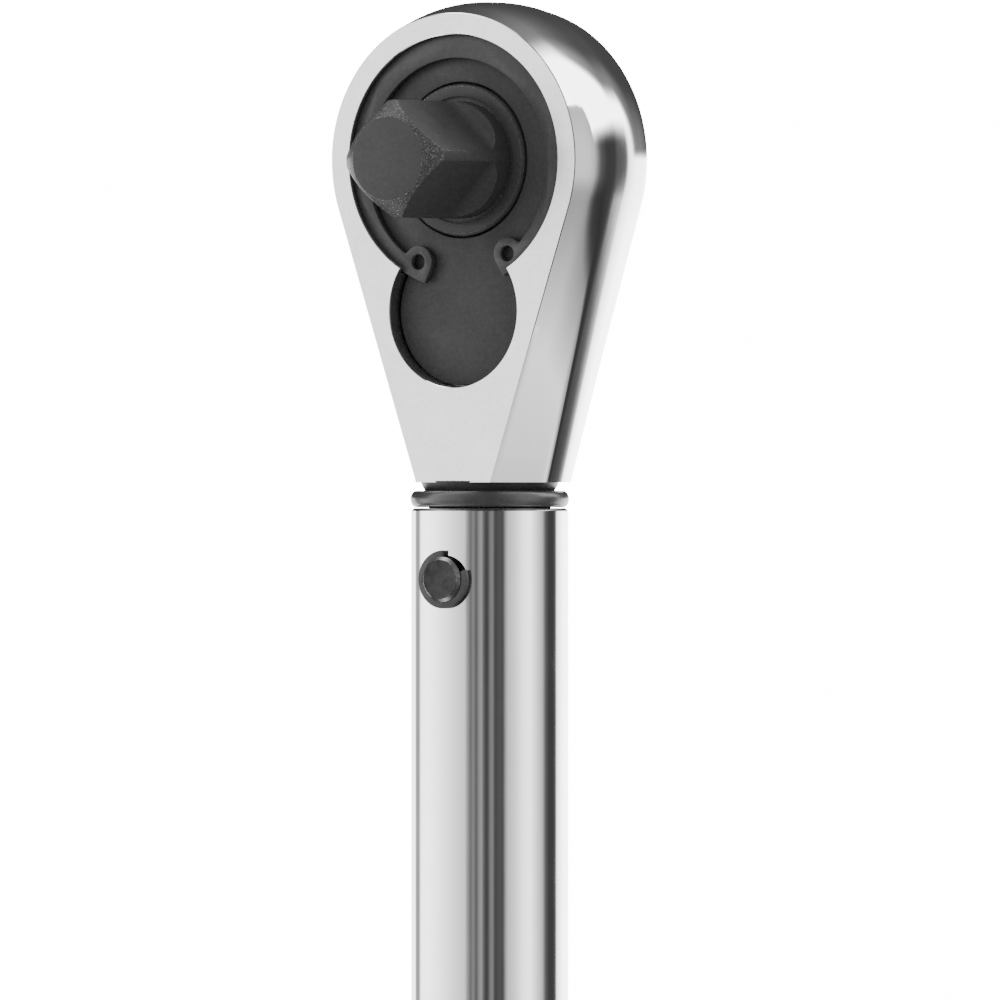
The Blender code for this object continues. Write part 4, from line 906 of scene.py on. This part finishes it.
def buildKnurlNodes():
    tree, sockets, start, end = geometryTree("diamondKnurl", (
        ("Columns", "Int", 48), ("Rows", "Int", 20), ("Radius", "Float", 0.0145),
        ("Row Rise", "Float", 0.001), ("Width", "Float", 0.001), ("Height", "Float", 0.001),
        ("Depth", "Float", 0.0005), ("Start", "Float", 0.0), ("Stagger", "Float", 0.5),
        ("Finish", "Material", None)))
    total = maths(tree, "MULTIPLY", start["Columns"], start["Rows"])
    line = addNode(tree, "GeometryNodeMeshLine", Count=total)
    index = addNode(tree, "GeometryNodeInputIndex").outputs[0]
    row = maths(tree, "FLOOR", maths(tree, "DIVIDE", index, start["Columns"]))
    column = maths(tree, "MODULO", index, start["Columns"])
    shift = maths(tree, "MULTIPLY", maths(tree, "MODULO", row, 2.0), start["Stagger"])
    step = maths(tree, "DIVIDE", math.tau, start["Columns"])
    turn = maths(tree, "MULTIPLY", maths(tree, "ADD", column, shift), step)
    height = maths(tree, "MULTIPLY_ADD", row, start["Row Rise"], start["Start"])
    across = [maths(tree, "MULTIPLY", maths(tree, wave, turn), start["Radius"])
              for wave in ("COSINE", "SINE")]
    place = addNode(tree, "ShaderNodeCombineXYZ", X=across[0], Y=across[1], Z=height).outputs[0]
    points = addNode(tree, "GeometryNodeSetPosition", Geometry=line.outputs[0], Position=place)
    point = addNode(tree, "GeometryNodeMeshCone", {"fill_type": "NONE"}, **{
        "Vertices": 4, "Radius Top": 0.12, "Radius Bottom": 1.0, "Depth": 1.0})
    rotation = addNode(tree, "ShaderNodeCombineXYZ", X=0.0, Y=math.pi / 2, Z=turn)
    size = addNode(tree, "ShaderNodeCombineXYZ", X=start["Height"], Y=start["Width"],
                   Z=start["Depth"])
    spread = addNode(tree, "GeometryNodeInstanceOnPoints", Points=points.outputs[0],
                     Instance=point.outputs["Mesh"], Rotation=rotation.outputs[0], Scale=size.outputs[0])
    real = addNode(tree, "GeometryNodeRealizeInstances", Geometry=spread.outputs[0]).outputs[0]
    painted = addNode(tree, "GeometryNodeSetMaterial", Geometry=real, Material=start["Finish"])
    tree.links.new(painted.outputs[0], end[0])
    return tree, sockets


knurlNodes = buildKnurlNodes()


def knurled(name, radius, low, high, columns, depth):
    width = math.pi * radius / columns
    rows = int((high - low) / width) - 1
    return grown(name, knurlNodes, {
        "Columns": columns, "Rows": rows, "Radius": radius, "Row Rise": width, "Width": width,
        "Height": width, "Depth": depth, "Start": (low + high) / 2 - width * (rows - 1) / 2,
        "Stagger": 0.5, "Finish": gripChrome}, 15)


gripLow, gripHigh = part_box("grip_sleeve")
grip = {
    "low": gripLow[2], "high": gripHigh[2], "radius": gripHigh[0], "edge": 1.5 * mm, "groove": 2.4 * mm,
    "depth": 0.8 * mm, "bore": tubeRadius + 0.4 * mm, "knurl": 0.45 * mm, "plain": 1.5 * mm, "columns": 56,
    "bands": 4, "plugRoom": 0.3 * mm, "nutRoom": 1.0 * mm, "sink": 0.02 * mm,
}


def buildGrip():
    low, high, radius, knurl = grip["low"], grip["high"], grip["radius"], grip["knurl"]
    edge, groove, depth, count = grip["edge"], grip["groove"], grip["depth"], grip["bands"]
    turns = [math.pi / 12 * step for step in range(1, 7)]
    profile = [(radius - edge, low)]
    profile += [(radius - edge * (1 - math.sin(turn)), low + edge * (1 - math.cos(turn))) for turn in turns]
    bands = []
    band = (high - low) / count
    for index in range(count):
        start, stop = low + band * index, low + band * (index + 1)
        start += edge if index == 0 else groove / 2 + depth
        stop -= edge if index == count - 1 else groove / 2 + depth
        near, far = start + grip["plain"], stop - grip["plain"]
        bands.append((near, far))
        profile += [(radius, start), (radius, near), (radius - knurl, near + knurl),
                    (radius - knurl, far - knurl), (radius, far), (radius, stop)]
        if index < count - 1:
            profile += [(radius - depth, stop + depth), (radius - depth, stop + depth + groove)]
    profile += [(radius - edge * (1 - math.cos(turn)), high - edge * (1 - math.sin(turn))) for turn in turns]
    bore, plug = grip["bore"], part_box("handle_plug")[1][0] + grip["plugRoom"]
    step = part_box("jam_nut")[1][2] + grip["nutRoom"]
    profile += [(bore, high), (bore, step), (plug, step), (plug, low)]
    sleeve = objectFrom("gripSleeve", turned(profile, 144, closed=True), 25)
    paint(sleeve, gripChrome)
    pieces = [sleeve]
    for index, (near, far) in enumerate(bands):
        pieces.append(knurled("gripKnurl" + str(index), radius - knurl - grip["sink"], near + knurl,
                              far - knurl, grip["columns"], knurl))
    for piece in pieces:
        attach(piece, "handle")
    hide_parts("grip_sleeve")


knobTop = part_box("lock_knob")[1]
knob = {
    "radius": knobTop[0], "studTop": knobTop[2], "height": 14.0 * mm, "edge": 1.2 * mm, "knurl": 0.4 * mm,
    "columns": 60, "stud": 4.0 * mm, "turns": 8, "threadDepth": 0.45 * mm, "dish": 0.4 * mm,
    "dishRadius": 5.0 * mm,
}


def buildKnob():
    radius, height, edge, knurl = knob["radius"], knob["height"], knob["edge"], knob["knurl"]
    stud, top, turns = knob["stud"], knob["studTop"], knob["turns"]
    ribLow, ribHigh = edge + 1.4 * mm, height - edge - 1.4 * mm
    rounded = [(radius - edge * (1 - math.sin(turn)), edge * (1 - math.cos(turn)))
               for turn in [math.pi / 12 * step for step in range(7)]]
    profile = [(0, knob["dish"]), (knob["dishRadius"], knob["dish"]), (knob["dishRadius"] + 0.6 * mm, 0)]
    profile += rounded + [(radius, edge + 1 * mm), (radius - knurl, ribLow), (radius - knurl, ribHigh),
                          (radius, height - edge - 1 * mm)]
    profile += [(r, height - z) for r, z in reversed(rounded)]
    profile += [(stud + 1.5 * mm, height), (stud, height)]
    for ring in range(turns):
        z = height + 1 * mm + ring * (top - height - 2 * mm) / turns
        profile += [(stud, z), (stud - knob["threadDepth"], z + 0.5 * mm), (stud, z + 1 * mm)]
    profile += [(stud - 0.8 * mm, top), (0, top)]
    body = objectFrom("lockKnob", turned(profile, 128), 25)
    paint(body, gripChrome)
    ribs = knurled("knobRibs", radius - knurl - grip["sink"], ribLow, ribHigh, knob["columns"], knurl)
    for piece in (body, ribs):
        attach(piece, "knob")
    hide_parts("lock_knob")


thimbleLow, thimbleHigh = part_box("scale_thimble")
scale = {
    "low": thimbleLow[2], "high": thimbleHigh[2], "base": thimbleHigh[0], "straight": 0.35,
    "topWall": 0.9 * mm, "divisions": 20, "longTick": 3.2 * mm, "shortTick": 2.0 * mm,
    "tickWidth": 0.22 * mm, "numberSize": 3.0 * mm, "numberRise": 3.6 * mm, "firstMark": 14.0 * mm,
    "markStep": 5.0 * mm, "marks": 10, "longMark": 6.5 * mm, "shortMark": 3.6 * mm,
    "lineWidth": 0.25 * mm, "firstNumber": 40, "tubeNumberSize": 3.2 * mm, "numberTurn": 0.62,
    "ink": 0.015 * mm,
}


def wrapped(name, outline, radius, middleAngle, base, slope=0.0):
    for vert in outline.verts:
        turn = middleAngle + vert.co.x / radius
        out = radius - vert.co.y * slope + scale["ink"]
        vert.co = Vector((out * math.cos(turn), out * math.sin(turn), base + vert.co.y))
    piece = objectFrom(name, outline)
    paint(piece, markInk)
    return piece


def numberShape(text, size):
    letters = bpy.data.curves.new("number", "FONT")
    letters.body = text
    letters.size = size
    letters.align_x = "CENTER"
    letters.align_y = "CENTER"
    holder = newObject("number", letters)
    bpy.context.view_layer.update()
    mesh = bpy.data.meshes.new_from_object(holder)
    shape = bmesh.new()
    shape.from_mesh(mesh)
    bpy.data.objects.remove(holder, do_unlink=True)
    bpy.data.meshes.remove(mesh)
    return shape


def bar(width, height, parts=6):
    shape = bmesh.new()
    rows = [[shape.verts.new((width * (step / parts - 0.5), height * side, 0))
             for step in range(parts + 1)] for side in (-0.5, 0.5)]
    for step in range(parts):
        shape.faces.new([rows[0][step], rows[0][step + 1], rows[1][step + 1], rows[1][step]])
    return shape


def buildScale():
    low, high, base, bore = scale["low"], scale["high"], scale["base"], grip["bore"]
    neck = low + (high - low) * scale["straight"]
    topRadius = bore + scale["topWall"]
    thimble = objectFrom("scaleThimble", turned([
        (base - 0.2 * mm, low), (base, low + 0.2 * mm), (base, neck - 0.3 * mm), (base - 0.03 * mm, neck),
        (topRadius + 0.03 * mm, high - 0.3 * mm), (topRadius - 0.2 * mm, high), (bore, high), (bore, low)],
        160, closed=True), 25)
    paint(thimble, satinChrome)
    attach(thimble, "handle")
    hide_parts("scale_thimble")
    marks = []
    front, count = -math.pi / 2, scale["divisions"]
    for index in range(count):
        tall = scale["longTick"] if index % 2 == 0 else scale["shortTick"]
        tick = wrapped("thimbleMark", bar(scale["tickWidth"], tall), base, front + math.tau * index / count,
                       neck - 0.6 * mm - tall / 2)
        marks.append((tick, "handle", "satin_chrome"))
    slope, rise = (base - topRadius) / (high - neck), scale["numberRise"]
    for index in range(count // 2):
        digits = numberShape(str(index * 2), scale["numberSize"])
        number = wrapped("thimbleNumber", digits, base - slope * rise + 0.04 * mm,
                         front + math.tau * 2 * index / count, neck + rise, slope)
        marks.append((number, "handle", "satin_chrome"))
    first, step, width = high + scale["firstMark"], scale["markStep"], scale["lineWidth"]
    length = step * (scale["marks"] - 1)
    line = wrapped("tubeLine", bar(width, length), tubeRadius, front, first + length / 2)
    marks.append((line, "tube", "tube_chrome"))
    for index in range(scale["marks"]):
        z = first + step * index
        wide = scale["longMark"] if index % 2 == 0 else scale["shortMark"]
        marks.append((wrapped("tubeMark", bar(wide, width), tubeRadius, front, z), "tube", "tube_chrome"))
        if index % 2 == 0:
            digits = numberShape(str(scale["firstNumber"] + 10 * index), scale["tubeNumberSize"])
            number = wrapped("tubeNumber", digits, tubeRadius, front + scale["numberTurn"], z)
            marks.append((number, "tube", "tube_chrome"))
    for piece, body, slot in marks:
        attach(piece, body)


buildGrip()
buildKnob()
buildScale()
print("grip, scale and lock knob ready")


lever = {
    "disc": 7.6 * mm, "near": 9.9 * mm, "far": 12.5 * mm, "waist": 5.32 * mm, "reach": 13.8 * mm,
    "tip": 3.0 * mm, "ribOut": 1.6 * mm, "ribStep": 1.7 * mm, "ribWidth": 1.0 * mm, "ribEdge": 0.3 * mm,
    "turn": 22, "shaft": 4.0 * mm, "shaftFront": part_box("reverse_lever")[0][1], "edge": 0.35 * mm,
    "dimple": 3.6 * mm, "dimpleDepth": 0.5 * mm,
}


def buildLever():
    near, far, waist, tip, reach = lever["near"], lever["far"], lever["waist"], lever["tip"], lever["reach"]
    body = objectFrom("reverseLever", alongY(disc(lever["disc"], near, far, 128)))
    paddle = [(-waist, -waist)] + arc(0, tip - reach, tip, 180, 360, 40) + [(waist, -waist)]
    carve(body, [slab(paddle, near + 0.1 * mm, far - 0.15 * mm)], "UNION")
    soften(body, lever["edge"], 3, 40)
    grips = []
    halfRib = lever["ribWidth"] / 2
    for index in range(-1, 2):
        x = index * lever["ribStep"]
        top = -lever["disc"] * (0.55 if index == 0 else 0.95)
        end = (2.4 if index == 0 else 3.2) * mm - reach   # the middle rib is longer at both ends
        rib = objectFrom("leverRib", box((x - halfRib, far - 1 * mm, end),
                                         (x + halfRib, far + lever["ribOut"], top)))
        soften(rib, lever["ribEdge"], 3)
        grips.append(rib)
    radius, front, inside, bevel = lever["shaft"], lever["shaftFront"], near + 0.5 * mm, 0.2 * mm
    shaft = objectFrom("leverShaft", alongY(turned([
        (0, front), (radius - bevel, front), (radius, front + bevel), (radius, inside), (0, inside)], 64)))
    wide, deep, clear = lever["dimple"], lever["dimpleDepth"], far + 0.4 * mm
    dimple = turned([(0, far - deep), (wide, far - deep + 0.15 * mm), (wide + 0.6 * mm, clear),
                     (0, clear)], 96)
    carve(body, [alongY(dimple)])
    place = Matrix.Translation((0, 0, leverZ)) @ Matrix.Rotation(math.radians(-lever["turn"]), 4, "Y")
    for piece, finish in [(body, chrome), (shaft, machined)] + [(rib, chrome) for rib in grips]:
        paint(piece, finish)
        piece.data.transform(place)
        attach(piece, "lever")
    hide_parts("reverse_lever")


buildLever()
print("reverse lever ready")


innerFinishes = {
    "detent_ball": machined, "detent_spring": springSteel, "pawl": machined,
    "lever_retainer": springSteel, "pawl_plunger": machined, "pawl_spring": springSteel,
    "tilt_block": machined, "plunger": machined, "main_spring": springSteel, "spring_seat": machined,
    "thrust_ball": machined, "adjusting_screw": machined, "adjusting_nut": brass, "nut_pin": machined,
    "jam_nut": machined, "handle_plug": machined, "lock_rod": machined,
}
for nodeName, finish in innerFinishes.items():
    piece = frame["nodes"][nodeName]
    piece.data.materials.clear()
    paint(piece, finish)

print("all pieces ready")
